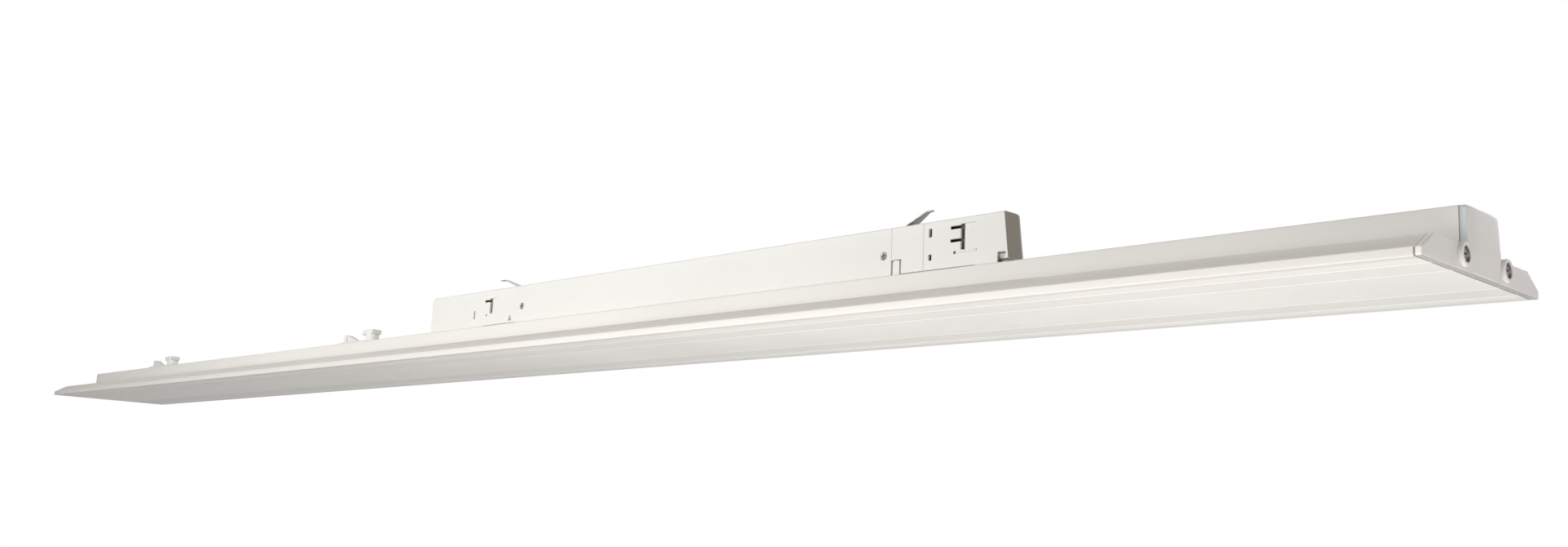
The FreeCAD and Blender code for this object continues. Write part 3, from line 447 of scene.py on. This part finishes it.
def round_path(points: Array, radius: float, steps: int = 9) -> Array:
    """Round the inner corners of an open path by the same radius, and keep its two ends."""
    radii = np.full(len(points), radius)
    arcs = rounded(points, radii, steps).reshape(len(points), steps, -1)
    return np.concatenate([points[:1], arcs[1:-1].reshape(-1, points.shape[1]), points[-1:]])


def mirror_half(half: Array) -> Array:
    """Close a half outline in Y and Z with its mirror image in Y."""
    return np.concatenate([half, half[::-1] * (-1.0, 1.0)])


def both_sides(distances: Array) -> Array:
    """Places at these distances on both sides of the middle, in order and each once."""
    return np.unique(np.round(np.concatenate([distances, -distances]), decimals=9))


def grid_faces(rows: int, columns: int) -> Array:
    """Quads of a grid of rows whose columns close on themselves."""
    row, column = np.meshgrid(np.arange(rows - 1), np.arange(columns), indexing="ij")
    after = (column + 1) % columns
    quads = np.stack([row * columns + column, row * columns + after,
                      (row + 1) * columns + after, (row + 1) * columns + column], axis=-1)
    return quads.reshape(-1, 4)


def open_tube(grid: Array) -> Shape:
    """Turn a grid of closed rings into vertices and faces, open at its ends."""
    return grid.reshape(-1, 3), grid_faces(*grid.shape[:2]).tolist()


def closed_tube(grid: Array) -> Shape:
    """Turn a grid of closed rings into vertices and faces, with a flat face on each end."""
    vertices, faces = open_tube(grid)
    rows, columns = grid.shape[:2]
    ends = np.arange(columns)
    return vertices, faces + [ends[::-1].tolist(), (ends + (rows - 1) * columns).tolist()]


def drawn(outline: Array, start: float, end: float) -> Shape:
    """Carry an outline in Y and Z along X from start to end."""
    x = np.linspace(start, end, STATIONS)[:, None]
    return closed_tube(np.stack(np.broadcast_arrays(x, outline[:, 0], outline[:, 1]), axis=-1))


def repeated(vertices: Array, faces: list, frames: Array) -> Shape:
    """Copy one shape to the places of these four-by-four matrices, one a copy."""
    whole = np.einsum("cij,vj->cvi", frames[:, :3, :3], vertices) + frames[:, None, :3, 3]
    count = len(vertices)
    copies = [[index + count * copy for index in face] for copy in range(len(frames)) for face in faces]
    return whole.reshape(-1, 3), copies


def joined(shapes: list[Shape]) -> Shape:
    """Put several shapes into one set of vertices and faces."""
    starts = np.cumsum([0] + [len(vertices) for vertices, _ in shapes]).tolist()
    faces = [[index + start for index in face] for start, (_, part) in zip(starts, shapes) for face in part]
    return np.concatenate([vertices for vertices, _ in shapes]), faces


def axis_frame(origin: Vec3, direction: Vec3) -> Array:
    """Matrix that carries +Z to a direction and the origin to a place."""
    turn = Vector((0.0, 0.0, 1.0)).rotation_difference(Vector(direction)).to_matrix().to_4x4()
    return np.array(Matrix.Translation(origin) @ turn)


def in_scene(name: str, data: bpy.types.ID) -> bpy.types.Object:
    """Make an object of this data and link it to the scene."""
    made = bpy.data.objects.new(name, data)
    bpy.context.scene.collection.objects.link(made)
    return made


@dataclass
class Dresser:
    """Gives every piece its material and its place on a body.

    Attributes:
        materials: Node materials by slot.
    """

    materials: dict[str, bpy.types.Material]

    def dress_nodes(self) -> None:
        """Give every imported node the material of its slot."""
        for part in frame["record"]["subparts"]:
            node = frame["nodes"][part["node"]]
            node.data.materials.clear()
            node.data.materials.append(self.materials[part["material_slot"]])
            LOG.info("node %s wears %s", part["node"], part["material_slot"])

    def piece(self, name: str, shape: Shape, slot: str, node: str, body: str = "light") -> None:
        """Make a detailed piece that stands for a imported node.

        Args:
            name: Name of the piece.
            shape: Its vertices and faces, in metres in the shared frame.
            slot: Material slot.
            node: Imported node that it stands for.
            body: Body that it rides on.
        """
        vertices, faces = shape
        mesh = bpy.data.meshes.new(name)
        mesh.from_pydata(vertices.tolist(), [], faces)
        work = bmesh.new()
        work.from_mesh(mesh)
        bmesh.ops.remove_doubles(work, verts=work.verts, dist=WELD)
        bmesh.ops.recalc_face_normals(work, faces=work.faces)
        work.to_mesh(mesh)
        work.free()
        mesh.shade_smooth()
        mesh.set_sharp_from_angle(angle=SHARP_ANGLE)
        mesh.materials.append(self.materials[slot])
        made = in_scene(name, mesh)
        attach(made, body)
        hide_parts(node)
        LOG.info("piece %s stands for %s on %s", name, node, body)


@dataclass
class Housing:
    """Drawn aluminium hat section, as one closed outline carried along the light.

    Attributes:
        rim_height: Height of the lower edge of the sloped strips.
        slope_run: Width of the sloped strips.
        wing_height: Height of the flat wings.
        channel_half: Half the channel's width.
        wall: Wall thickness.
        port_radius: Radius of the screw ports.
        outer_radii: Radii of the outer corners in millimetres, from the rim to the top.
        inner_radii: The same for the inner corners, with the ports'.
    """

    rim_height: float = 3.7 * MM
    slope_run: float = 12.0 * MM
    wing_height: float = 10.7 * MM
    channel_half: float = 16.75 * MM
    wall: float = 1.6 * MM
    port_radius: float = 3.0 * MM
    outer_radii: tuple[float, ...] = (0.25, 1.5, 0.6, 0.9)
    inner_radii: tuple[float, ...] = (0.25, 0.8, 0.3, 2.9, 2.9, 0.3, 0.5, 0.5)

    def outline(self, half_width: float, top: float, port_low: float) -> Array:
        """Work out the section: outer hat, then inner hat with its two screw ports.

        Args:
            half_width: Half the light's width.
            top: Height of the channel's top.
            port_low: Lowest level of the ports.

        Returns:
            Rounded outline as Y and Z.
        """
        slope_top = half_width - self.slope_run
        drop = self.wing_height - self.rim_height
        slant = np.hypot(self.slope_run, drop)
        ceiling = self.wing_height - self.wall
        run_per_drop = self.slope_run / drop
        inner_y = slope_top - self.wall * drop / slant
        inner_z = self.wing_height - self.wall * self.slope_run / slant
        outer = np.array([(half_width, self.rim_height), (slope_top, self.wing_height),
                          (self.channel_half, self.wing_height), (self.channel_half, top)])
        port_out, port_in = PORT_Y + self.port_radius, PORT_Y - self.port_radius
        inner_half = self.channel_half - self.wall
        inner = np.array([(inner_y + (inner_z - self.rim_height) * run_per_drop, self.rim_height),
                          (inner_y + (inner_z - ceiling) * run_per_drop, ceiling),
                          (port_out, ceiling), (port_out, port_low), (port_in, port_low), (port_in, ceiling),
                          (inner_half, ceiling), (inner_half, top - self.wall)])
        points = np.concatenate([mirror_half(outer), mirror_half(inner)[::-1]])
        radii = np.array([*self.outer_radii, *self.outer_radii[::-1],
                          *self.inner_radii, *self.inner_radii[::-1]]) * MM
        return rounded(points, radii)

    def build(self, dresser: Dresser) -> None:
        """Carry the outline from end to end and hand it to the dresser."""
        low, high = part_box("housing_extrusion")
        profile = drawn(self.outline(high.y, high.z, low.z), low.x, high.x)
        dresser.piece("housing_profile", profile, "housing_paint", "housing_extrusion")


HOUSING = Housing()


@dataclass
class LensPanel:
    """Opal cover: flat outside with fine grooves, rims and ribs inside and a thicker strip under each row.

    Attributes:
        thickness: Thickness of the pane.
        rim_wall: Thickness of the upright rims.
        rim_height: Height of the rims.
        rib_inset: Distance of the ribs from the edges.
        rib_wall: Thickness of the ribs.
        rib_top: Height of the ribs.
        zone_centre: Distance of the thick strips from the middle.
        zone_half: Half the strips' width.
        zone_rise: How far the strips rise above the pane.
        groove_half: Half the grooves' width.
        groove_depth: Depth of the grooves.
        corner: Radius of the lower outer edges.
        end_gap: Gap between the pane and each end cap.
        hair: Half the width over which the sides of rims and ribs rise.
    """

    thickness: float = 2.0 * MM
    rim_wall: float = 2.2 * MM
    rim_height: float = 3.7 * MM
    rib_inset: float = 6.0 * MM
    rib_wall: float = 1.2 * MM
    rib_top: float = 4.0 * MM
    zone_centre: float = 34.0 * MM
    zone_half: float = 10.0 * MM
    zone_rise: float = 2.2 * MM
    groove_half: float = 0.9 * MM
    groove_depth: float = 0.4 * MM
    corner: float = 0.6 * MM
    end_gap: float = 0.5 * MM
    hair: float = 0.01 * MM

    def grooves(self) -> Array:
        """Distances of the grooves from the middle, which are the strips' edges."""
        return np.array([self.zone_centre - self.zone_half, self.zone_centre + self.zone_half])

    def underside(self, y: Array, half_width: float) -> Array:
        """Level of the lower face: V grooves at the strips' edges and a rounded outer corner."""
        nearest = np.abs(np.abs(y)[:, None] - self.grooves()).min(axis=1)
        groove = self.groove_depth * np.clip(1.0 - nearest / self.groove_half, 0.0, 1.0)
        past = np.clip(np.abs(y) - (half_width - self.corner), 0.0, self.corner)
        return groove + self.corner - np.sqrt(self.corner ** 2 - past ** 2)

    def upper_side(self, y: Array, half_width: float) -> Array:
        """Level of the upper face: the higher of pane, crowned strip, rib and rim."""
        across = np.abs(y)
        from_zone = (across - self.zone_centre) / self.zone_half
        crown = self.thickness + self.zone_rise * np.clip(1.0 - from_zone ** 2, 0.0, 1.0)
        rib = np.where(np.abs(across - half_width + self.rib_inset) < self.rib_wall / 2.0, self.rib_top, 0.0)
        rim = np.where(across > half_width - self.rim_wall, self.rim_height, 0.0)
        return np.maximum(np.maximum(crown, rib), rim)

    def build(self, dresser: Dresser) -> None:
        """Carry the section from end to end.

        Args:
            dresser: Gives the piece its material and body.
        """
        low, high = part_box("lens_cover")
        half = high.y
        grooves = self.grooves()
        flat = np.linspace(0.0, half - self.corner, 40)
        corner = half - self.corner + soft_edge(self.corner, steps=6)[1]
        below = both_sides(np.concatenate(
            [flat, grooves - self.groove_half, grooves, grooves + self.groove_half, corner]))
        strip = self.zone_centre + self.zone_half * np.linspace(-1.0, 1.0, 17)
        steps = np.array([half - self.rim_wall, half - self.rib_inset - self.rib_wall / 2.0,
                          half - self.rib_inset + self.rib_wall / 2.0])
        above = both_sides(np.concatenate([[0.0, half], strip, steps - self.hair, steps + self.hair]))[::-1]
        outline = np.concatenate([np.stack([below, self.underside(below, half)], axis=1),
                                  np.stack([above, self.upper_side(above, half)], axis=1)])
        panel = drawn(outline, low.x + self.end_gap, high.x - self.end_gap)
        dresser.piece("lens_panel", panel, "lens_opal", "lens_cover")


@dataclass
class EndCap:
    """Moulded cap: hat-shaped plate with soft edges, crowned block over the channel, and two screw bosses.

    Attributes:
        node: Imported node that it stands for.
        way: Side of the light along X.
        plate: Thickness of the plate.
        plate_radii: Radii of the hat's corners in millimetres, from its foot to its top.
        soft: Radius of the plate's outer edges.
        joint: Width and depth of the fine step where the cap meets the housing.
        foot_level: Lowest level of the block.
        foot_bulge: How far the block stands out over the wings.
        top_bulge: How far it stands out at its top.
        top_edge: Radius of its top edge.
        power: Squareness of the block's plan.
        boss_radius: Radius of the screw bosses.
        boss_length: How far they stand out.
        lip: Radius of their rims.
        seat_radius: Radius of the screw seats.
        seat_bevel: Drop from the rim to the seat's upper edge.
        seat_sink: How far the seat is sunk in the plate.
    """

    node: str
    way: float
    plate: float = 2.8 * MM
    plate_radii: tuple[float, ...] = (0.8, 0.9, 1.6, 0.8, 1.6)
    soft: float = 0.7 * MM
    joint: float = 0.4 * MM
    foot_level: float = 0.3 * MM
    foot_bulge: float = 2.2 * MM
    top_bulge: float = 1.2 * MM
    top_edge: float = 1.2 * MM
    power: float = 4.2
    boss_radius: float = 5.0 * MM
    boss_length: float = 2.0 * MM
    lip: float = 0.6 * MM
    seat_radius: float = 3.45 * MM
    seat_bevel: float = 0.1 * MM
    seat_sink: float = 0.6 * MM

    def plate_shape(self, half_width: float, top: float, inner_x: float) -> Shape:
        """Carry the hat outline through the plate, from a fine step to edges rounded by a quarter circle.

        Args:
            half_width: Half the light's width.
            top: Height of the channel's top.
            inner_x: Where the plate meets the housing.

        Returns:
            Vertices and faces.
        """
        wing = HOUSING.wing_height
        half = np.array([(half_width, 0.0), (half_width, HOUSING.rim_height),
                         (half_width - HOUSING.slope_run, wing),
                         (HOUSING.channel_half, wing), (HOUSING.channel_half, top)])
        radii = np.array([*self.plate_radii, *self.plate_radii[::-1]]) * MM
        outline = rounded(mirror_half(half), radii)
        along = unit_rows(np.roll(outline, -1, axis=0) - np.roll(outline, 1, axis=0))
        inward = np.stack([-along[:, 1], along[:, 0]], axis=1)
        edge_in, edge_out = soft_edge(self.soft)
        inset = np.concatenate([[self.joint, self.joint, 0.0], edge_in])
        depth = np.concatenate([[0.0, self.joint, self.joint], self.plate - self.soft + edge_out])
        rings = outline + inset[:, None, None] * inward
        x = np.broadcast_to((inner_x + self.way * depth)[:, None], rings.shape[:2])
        return closed_tube(np.stack([x, rings[..., 0], rings[..., 1]], axis=-1))

    def crown_shape(self, top: float, inner_x: float) -> Shape:
        """Stack plans of the block; each plan's depth is (1 - |u|^p)^(1/p) of the bulge at its level.

        Args:
            top: Height of the channel's top.
            inner_x: Where the block meets the housing.

        Returns:
            Vertices and faces.
        """
        wing = HOUSING.wing_height
        shoulder = top - self.top_edge
        edge_in, edge_up = soft_edge(self.top_edge)
        above_wing = np.linspace(wing, shoulder, 12)[1:]
        upright = np.concatenate([np.linspace(self.foot_level, wing, 9), above_wing])
        level = np.concatenate([upright, shoulder + edge_up[1:]])
        inset = np.concatenate([np.zeros(len(upright)), edge_in[1:]])
        bulge = np.interp(level, [0.0, wing, top], [self.foot_bulge / 2.0, self.foot_bulge, self.top_bulge])
        depth = (self.plate + bulge - inset - self.joint)[:, None]
        angle = np.linspace(-np.pi / 2.0, np.pi / 2.0, 61)
        across = np.sign(angle) * np.abs(np.sin(angle)) ** (2.0 / self.power)
        out = np.abs(np.cos(angle)) ** (2.0 / self.power)
        y = (HOUSING.channel_half - inset)[:, None] * across
        x = inner_x + self.way * (self.joint + depth * out)
        z = np.broadcast_to(level[:, None], y.shape)
        return closed_tube(np.stack([x, y, z], axis=-1))

    def boss_shape(self, side: float, inner_x: float) -> Shape:
        """Turn the boss's profile round its axis: rounded rim, sunken seat, and a foot in the plate.

        Args:
            side: Side of the light along Y.
            inner_x: Where the plate meets the housing.

        Returns:
            Vertices and faces.
        """
        foot, seat, end = self.plate / 2.0, self.plate - self.seat_sink, self.plate + self.boss_length
        edge_in, edge_out = soft_edge(self.lip, steps=6)
        rim = np.stack([self.boss_radius - edge_in, end - self.lip + edge_out], axis=1)
        hollow = [(self.seat_radius, end - self.seat_bevel), (self.seat_radius, seat), (0.0, seat)]
        profile = np.concatenate([[(0.0, foot), (self.boss_radius, foot)], rim, hollow])
        turn = whole_turn(64)
        y = side * PORT_Y + profile[:, :1] * np.cos(turn)
        z = PORT_Z + profile[:, :1] * np.sin(turn)
        x = np.broadcast_to(inner_x + self.way * profile[:, 1:], y.shape)
        return open_tube(np.stack([x, y, z], axis=-1))

    def build(self, dresser: Dresser) -> None:
        """Join plate, block and bosses in one piece and hand it to the dresser."""
        low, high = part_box("housing_extrusion")
        inner_x = high.x if self.way > 0 else low.x
        shapes = [self.plate_shape(high.y, high.z, inner_x), self.crown_shape(high.z, inner_x),
                  *(self.boss_shape(side, inner_x) for side in SIDES)]
        dresser.piece(self.node + "_moulding", joined(shapes), "cap_plastic", self.node)


@dataclass
class Screw:
    """Cross-head screw as a surface of revolution whose crown is sunk along two crossed bars.

    Attributes:
        head_radius: Radius of the head.
        head_height: Height of the head above its seat.
        seat_drop: How far the head's underside tapers down to the shank.
        crown: Rise of the head's middle over its rim.
        lip: Bevel of the head's rim.
        shank_radius: Radius of the shank.
        shank_length: Length below the seat.
        bar_half_width: Half the width of the recess's bars.
        bar_half_length: Half their length.
        bar_slope: Width of their sloped sides.
        recess: Depth of the recess.
    """

    head_radius: float = 3.2 * MM
    head_height: float = 2.0 * MM
    seat_drop: float = 0.0
    crown: float = 0.6 * MM
    lip: float = 0.3 * MM
    shank_radius: float = 1.4 * MM
    shank_length: float = 14.0 * MM
    bar_half_width: float = 0.45 * MM
    bar_half_length: float = 1.8 * MM
    bar_slope: float = 0.15 * MM
    recess: float = 0.9 * MM

    def shape(self) -> Shape:
        """Work out one screw, head up, seat on the origin plane.

        Returns:
            Vertices and faces.
        """
        share = np.linspace(0.0, 1.0, 22)
        top_radius = share * (self.head_radius - self.lip)
        top_level = self.head_height - self.crown * share ** 2
        rim_level = self.head_height - self.crown - self.lip
        lower = np.array([(self.head_radius, rim_level), (self.head_radius, 0.0),
                          (self.shank_radius, -self.seat_drop), (self.shank_radius, -self.shank_length),
                          (0.0, -self.shank_length - self.shank_radius / 2.0)])
        radius = np.concatenate([top_radius, lower[:, 0]])[:, None]
        level = np.concatenate([top_level, lower[:, 1]])[:, None]
        turn = whole_turn(96)
        x, y = radius * np.cos(turn), radius * np.sin(turn)
        near, far = np.minimum(np.abs(x), np.abs(y)), np.maximum(np.abs(x), np.abs(y))
        bars = np.clip((self.bar_half_width - near) / self.bar_slope, 0.0, 1.0)
        bars = bars * np.clip((self.bar_half_length - far) / self.bar_slope, 0.0, 1.0)
        crown_rows = (np.arange(len(radius)) < len(share))[:, None]
        return open_tube(np.stack([x, y, level - self.recess * bars * crown_rows], axis=-1))


@dataclass
class Fasteners:
    """The screws in view: two in each end cap and two in the gear box's side.

    Attributes:
        cap_screw: Screw of the end caps.
        side_screw: Flat screw of the gear box.
    """

    cap_screw: Screw = field(default_factory=Screw)
    side_screw: Screw = field(default_factory=lambda: Screw(
        head_radius=2.4 * MM, head_height=0.0, seat_drop=1.2 * MM, crown=-0.3 * MM, shank_length=6.8 * MM,
        bar_half_width=0.4 * MM, bar_half_length=1.5 * MM))

    def build(self, dresser: Dresser) -> None:
        """Make both sets and hand them to the dresser."""
        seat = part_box("end_cap_screws")[1].x - self.cap_screw.head_height
        frames = np.array([axis_frame((end * seat, side * PORT_Y, PORT_Z), (end, 0.0, 0.0))
                           for end, side in BOSS_PLACES])
        screws = repeated(*self.cap_screw.shape(), frames)
        dresser.piece("cap_screws", screws, "screw_steel", "end_cap_screws")
        low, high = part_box("adapter_side_screws")
        inset, level = self.side_screw.head_radius, (low.z + high.z) / 2.0
        frames = np.array([axis_frame((x, low.y, level), (0.0, -1.0, 0.0))
                           for x in (low.x + inset, high.x - inset)])
        screws = repeated(*self.side_screw.shape(), frames)
        dresser.piece("side_screws", screws, "screw_steel", "adapter_side_screws")


@dataclass
class EarthSpring:
    """Bent leaf of spring steel: a rounded strip section carried along a path with rounded bends.

    Attributes:
        node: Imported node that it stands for.
        way: Direction of the tip along X.
        tip: Length of the flatter tip.
        tip_lift: How far the tip still rises.
        thickness: Thickness of the leaf.
        edge: Radius of the strip's edges.
        leg: Depth of its leg in the slot.
        root_half: Half the width at the root.
        tip_half: Half the width at the tip.
        tip_shift: How far the tip's middle lies in front of the root's.
        bend: Radius of the bends.
    """

    node: str
    way: float
    tip: float
    tip_lift: float = 0.2 * MM
    thickness: float = 0.6 * MM
    edge: float = 0.2 * MM
    leg: float = 6.0 * MM
    root_half: float = 4.0 * MM
    tip_half: float = 1.1 * MM
    tip_shift: float = 1.5 * MM
    bend: float = 1.6 * MM

    def build(self, dresser: Dresser) -> None:
        """Carry the strip's section along its path.

        The ring at a place is the path's point, plus the path's normal times half the thickness,
        plus Y times the half width there, both times a rounded rectangle's outline,
        with the middle drifting to the front along the leaf.

        Args:
            dresser: Gives the piece its material and body.
        """
        low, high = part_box(self.node)
        edge_x, tip_x = (low.x, high.x) if self.way > 0 else (high.x, low.x)
        root_x = edge_x + self.way * self.thickness / 2.0
        top = high.z - self.thickness / 2.0
        corners = np.array([(root_x, low.z), (root_x, low.z + self.leg + self.thickness),
                            (tip_x - self.way * self.tip, top - self.tip_lift), (tip_x, top)])
        path = round_path(corners, self.bend)
        lengths = np.concatenate([[0.0], np.cumsum(np.linalg.norm(np.diff(path, axis=0), axis=1))])
        along = np.linspace(0.0, 1.0, 80) * lengths[-1]
        line = np.stack([np.interp(along, lengths, values) for values in path.T], axis=1)
        slope = unit_rows(np.gradient(line, axis=0))
        share = np.clip((line[:, 0] - root_x) / (tip_x - root_x), 0.0, 1.0)
        half = self.root_half + (self.tip_half - self.root_half) * share
        square = np.array([(1.0, 1.0), (-1.0, 1.0), (-1.0, -1.0), (1.0, -1.0)])
        section = rounded(square * (self.root_half, self.thickness / 2.0), np.full(len(square), self.edge))
        wide, thick = section[:, 0] / self.root_half, section[:, 1]
        x = line[:, None, 0] - slope[:, None, 1] * thick
        z = line[:, None, 1] + slope[:, None, 0] * thick
        middle = (low.y + high.y) / 2.0 - self.tip_shift * share
        y = middle[:, None] + half[:, None] * wide
        leaf = closed_tube(np.stack([x, y, z], axis=-1))
        dresser.piece(self.node + "_leaf", leaf, "spring_steel", self.node)


@dataclass
class SelectorDial:
    """Knurled wheel on a shaft, as a ring profile whose radius waves round the rim.

    Attributes:
        radius: Outer radius of the wheel.
        height: Height of the wheel.
        lift: How far the shaft holds the wheel above its foot.
        shaft: Radius of the shaft.
        ribs: Number of ribs.
        rib_points: Points round each rib.
        rib_depth: Depth between the ribs.
        chamfer: Bevel of the wheel's edges.
    """

    radius: float = 6.4 * MM
    height: float = 2.8 * MM
    lift: float = 2.5 * MM
    shaft: float = 2.5 * MM
    ribs: int = 16
    rib_points: int = 10
    rib_depth: float = 0.7 * MM
    chamfer: float = 0.5 * MM

    def build(self, dresser: Dresser) -> None:
        """Turn a profile of radius, level and share of the ribs' wave, depth x (1 - |cos|), round the axis.

        Args:
            dresser: Gives the piece its material and body.
        """
        joint = next(item for item in frame["joints"] if item["child"] == "selector")
        axis_x, axis_y = joint["pos_m"][0], joint["pos_m"][1]
        low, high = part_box("phase_selector_dial")
        under = low.z + self.lift
        top = under + self.height
        inner = self.radius - self.chamfer
        profile = np.array([(0.0, low.z, 0.0), (self.shaft, low.z, 0.0), (self.shaft, under, 0.0),
                            (inner, under, 0.0), (self.radius, under + self.chamfer, 1.0),
                            (self.radius, top - self.chamfer, 1.0), (inner, top, 0.0),
                            (self.shaft, top, 0.0), (self.shaft, high.z, 0.0), (0.0, high.z, 0.0)])
        turn = whole_turn(self.ribs * self.rib_points)
        wave = self.rib_depth * (1.0 - np.abs(np.cos(turn * self.ribs / 2.0)))
        radius = profile[:, :1] - profile[:, 2:] * wave
        grid = np.stack([axis_x + radius * np.cos(turn), axis_y + radius * np.sin(turn),
                         np.broadcast_to(profile[:, 1:2], radius.shape)], axis=-1)
        dresser.piece("selector_wheel", open_tube(grid), "lever_plastic", "phase_selector_dial", "selector")


@dataclass(frozen=True)
class Lamp:
    """Soft rectangular lamp.

    Attributes:
        name: Name of the lamp.
        place: Where it hangs.
        aim: Point that it looks at.
        size: Its width and height.
        power: Its power in watts.
    """

    name: str
    place: Vec3
    aim: Vec3
    size: tuple[float, float]
    power: float

    def hang(self) -> None:
        """Put the lamp in its place, unseen by the camera."""
        data = bpy.data.lights.new(self.name, "AREA")
        data.shape = "RECTANGLE"
        data.size, data.size_y = self.size
        data.energy = self.power
        made = in_scene(self.name, data)
        made.location = self.place
        made.rotation_euler = (Vector(self.aim) - Vector(self.place)).to_track_quat("-Z", "Y").to_euler()
        made.visible_camera = False


LAMPS = (
    Lamp("front_lamp", (0.05, -0.62, 0.0), (0.05, 0.0, 0.03), (1.25, 0.35), 4.3),
    Lamp("low_lamp", (0.68, -0.32, -0.48), (0.68, 0.0, 0.0), (0.85, 0.4), 3.1),
    Lamp("side_lamp", (2.2, -0.25, 0.20), (0.75, 0.0, 0.02), (0.6, 0.6), 5.0),
    Lamp("back_lamp", (-0.1, 1.5, 0.8), (-0.1, 0.0, 0.0), (2.4, 0.8), 14.0),
)


@dataclass
class Studio:
    """Plain floor, white surroundings, soft lamps and the camera.

    Attributes:
        floor_level: Height of the floor, below the camera.
        floor_half: Half the floor's side.
        floor_share: Share of plain white that the eye sees in the floor.
        floor_glow: Level of that white under the light.
        fade_start: Distance from which the floor fades into the white surroundings.
        ambient: Strength of the white surroundings as light.
        camera_place: The camera's place in metres.
        camera_right: Direction of the picture's right.
        camera_up: Direction of the picture's top.
        focal_pixels: Focal length in pixels of the picture.
        picture_width: Width of the picture in pixels.
        sensor_width: Width of the camera's sensor in millimetres.
        nearest: Distance from which the camera sees.
    """

    floor_level: float = -0.75
    floor_half: float = 6.0
    floor_share: float = 0.55
    floor_glow: float = 0.9
    fade_start: float = 1.5
    ambient: float = 0.27
    camera_place: Vec3 = (0.971899, -0.598646, -0.111769)
    camera_right: Vec3 = (0.69531375, 0.71730796, 0.04481164)
    camera_up: Vec3 = (0.09390413, -0.15248688, 0.98383422)
    focal_pixels: float = 1790.0
    picture_width: float = 1920.0
    sensor_width: float = 36.0
    nearest: float = 0.01

    def surroundings(self) -> None:
        """White world: full white to the eye and in reflections, a plain level as light."""
        world = bpy.data.worlds.new("studio_white")
        world.use_nodes = True
        world.node_tree.nodes.clear()
        sketch = NodeSketch(world.node_tree)
        path = sketch.add("ShaderNodeLightPath").outputs
        seen = sketch.math("MAXIMUM", path["Is Camera Ray"],
                           sketch.math("MAXIMUM", path["Is Glossy Ray"], path["Is Transmission Ray"]))
        strength = sketch.math("MULTIPLY_ADD", seen, 1.0 - self.ambient, self.ambient)
        light = sketch.wire(sketch.add("ShaderNodeBackground"), Color=WHITE, Strength=strength)
        sketch.wire(sketch.add("ShaderNodeOutputWorld"), Surface=light.outputs[0])
        bpy.context.scene.world = world

    def floor(self) -> None:
        """Pale floor, partly white to the eye, that fades out with distance and is clear from below."""
        side = self.floor_half
        square = ((-side, -side), (side, -side), (side, side), (-side, side))
        mesh = bpy.data.meshes.new("studio_floor")
        mesh.from_pydata([(x, y, self.floor_level) for x, y in square], [], [(0, 1, 2, 3)])
        paper = FLOOR_PAPER.material()
        sketch = NodeSketch(paper.node_tree)
        nodes = {node.type: node for node in paper.node_tree.nodes}
        shader, output = nodes["BSDF_PRINCIPLED"], nodes["OUTPUT_MATERIAL"]
        away = sketch.vector("LENGTH", sketch.place()).outputs["Value"]
        share = sketch.ramp(away, self.fade_start, side, self.floor_share, 1.0)
        glow = sketch.ramp(away, self.fade_start, side, self.floor_glow, 1.0)
        white = sketch.wire(sketch.add("ShaderNodeEmission"), Strength=glow)
        seen = sketch.add("ShaderNodeLightPath").outputs["Is Camera Ray"]
        above = sketch.blend(sketch.math("MULTIPLY", seen, share), shader.outputs[0], white.outputs[0])
        below = sketch.add("ShaderNodeBsdfTransparent").outputs[0]
        back = sketch.add("ShaderNodeNewGeometry").outputs["Backfacing"]
        sketch.wire(output, Surface=sketch.blend(back, above, below))
        mesh.materials.append(paper)
        made = in_scene("studio_floor", mesh)

    def camera(self) -> None:
        """Stand the camera at the photograph's place."""
        data = bpy.data.cameras.new("camera")
        data.sensor_width = self.sensor_width
        data.lens = self.sensor_width * self.focal_pixels / self.picture_width
        data.clip_start = self.nearest
        made = in_scene("camera", data)
        right, up = Vector(self.camera_right), Vector(self.camera_up)
        turn = Matrix((right, up, right.cross(up))).transposed().to_4x4()
        made.matrix_world = Matrix.Translation(self.camera_place) @ turn
        bpy.context.scene.camera = made

    def build(self) -> None:
        """Set up the whole studio."""
        self.surroundings()
        self.floor()
        for lamp in LAMPS:
            lamp.hang()
        self.camera()
        bpy.context.scene.view_settings.view_transform = "Standard"


def main() -> None:
    """Build the light's pieces in order, then the studio."""
    logging.basicConfig(level=logging.INFO)
    dresser = Dresser({finish.slot: finish.material() for finish in FINISHES})
    dresser.dress_nodes()
    HOUSING.build(dresser)
    LensPanel().build(dresser)
    EndCap("end_cap_left", -1.0).build(dresser)
    EndCap("end_cap_right", 1.0).build(dresser)
    Fasteners().build(dresser)
    EarthSpring("earth_spring_right", 1.0, 3.8 * MM).build(dresser)
    EarthSpring("earth_spring_left", -1.0, 7.2 * MM).build(dresser)
    SelectorDial().build(dresser)
    Studio().build()


if __name__ == "__main__":
    main()
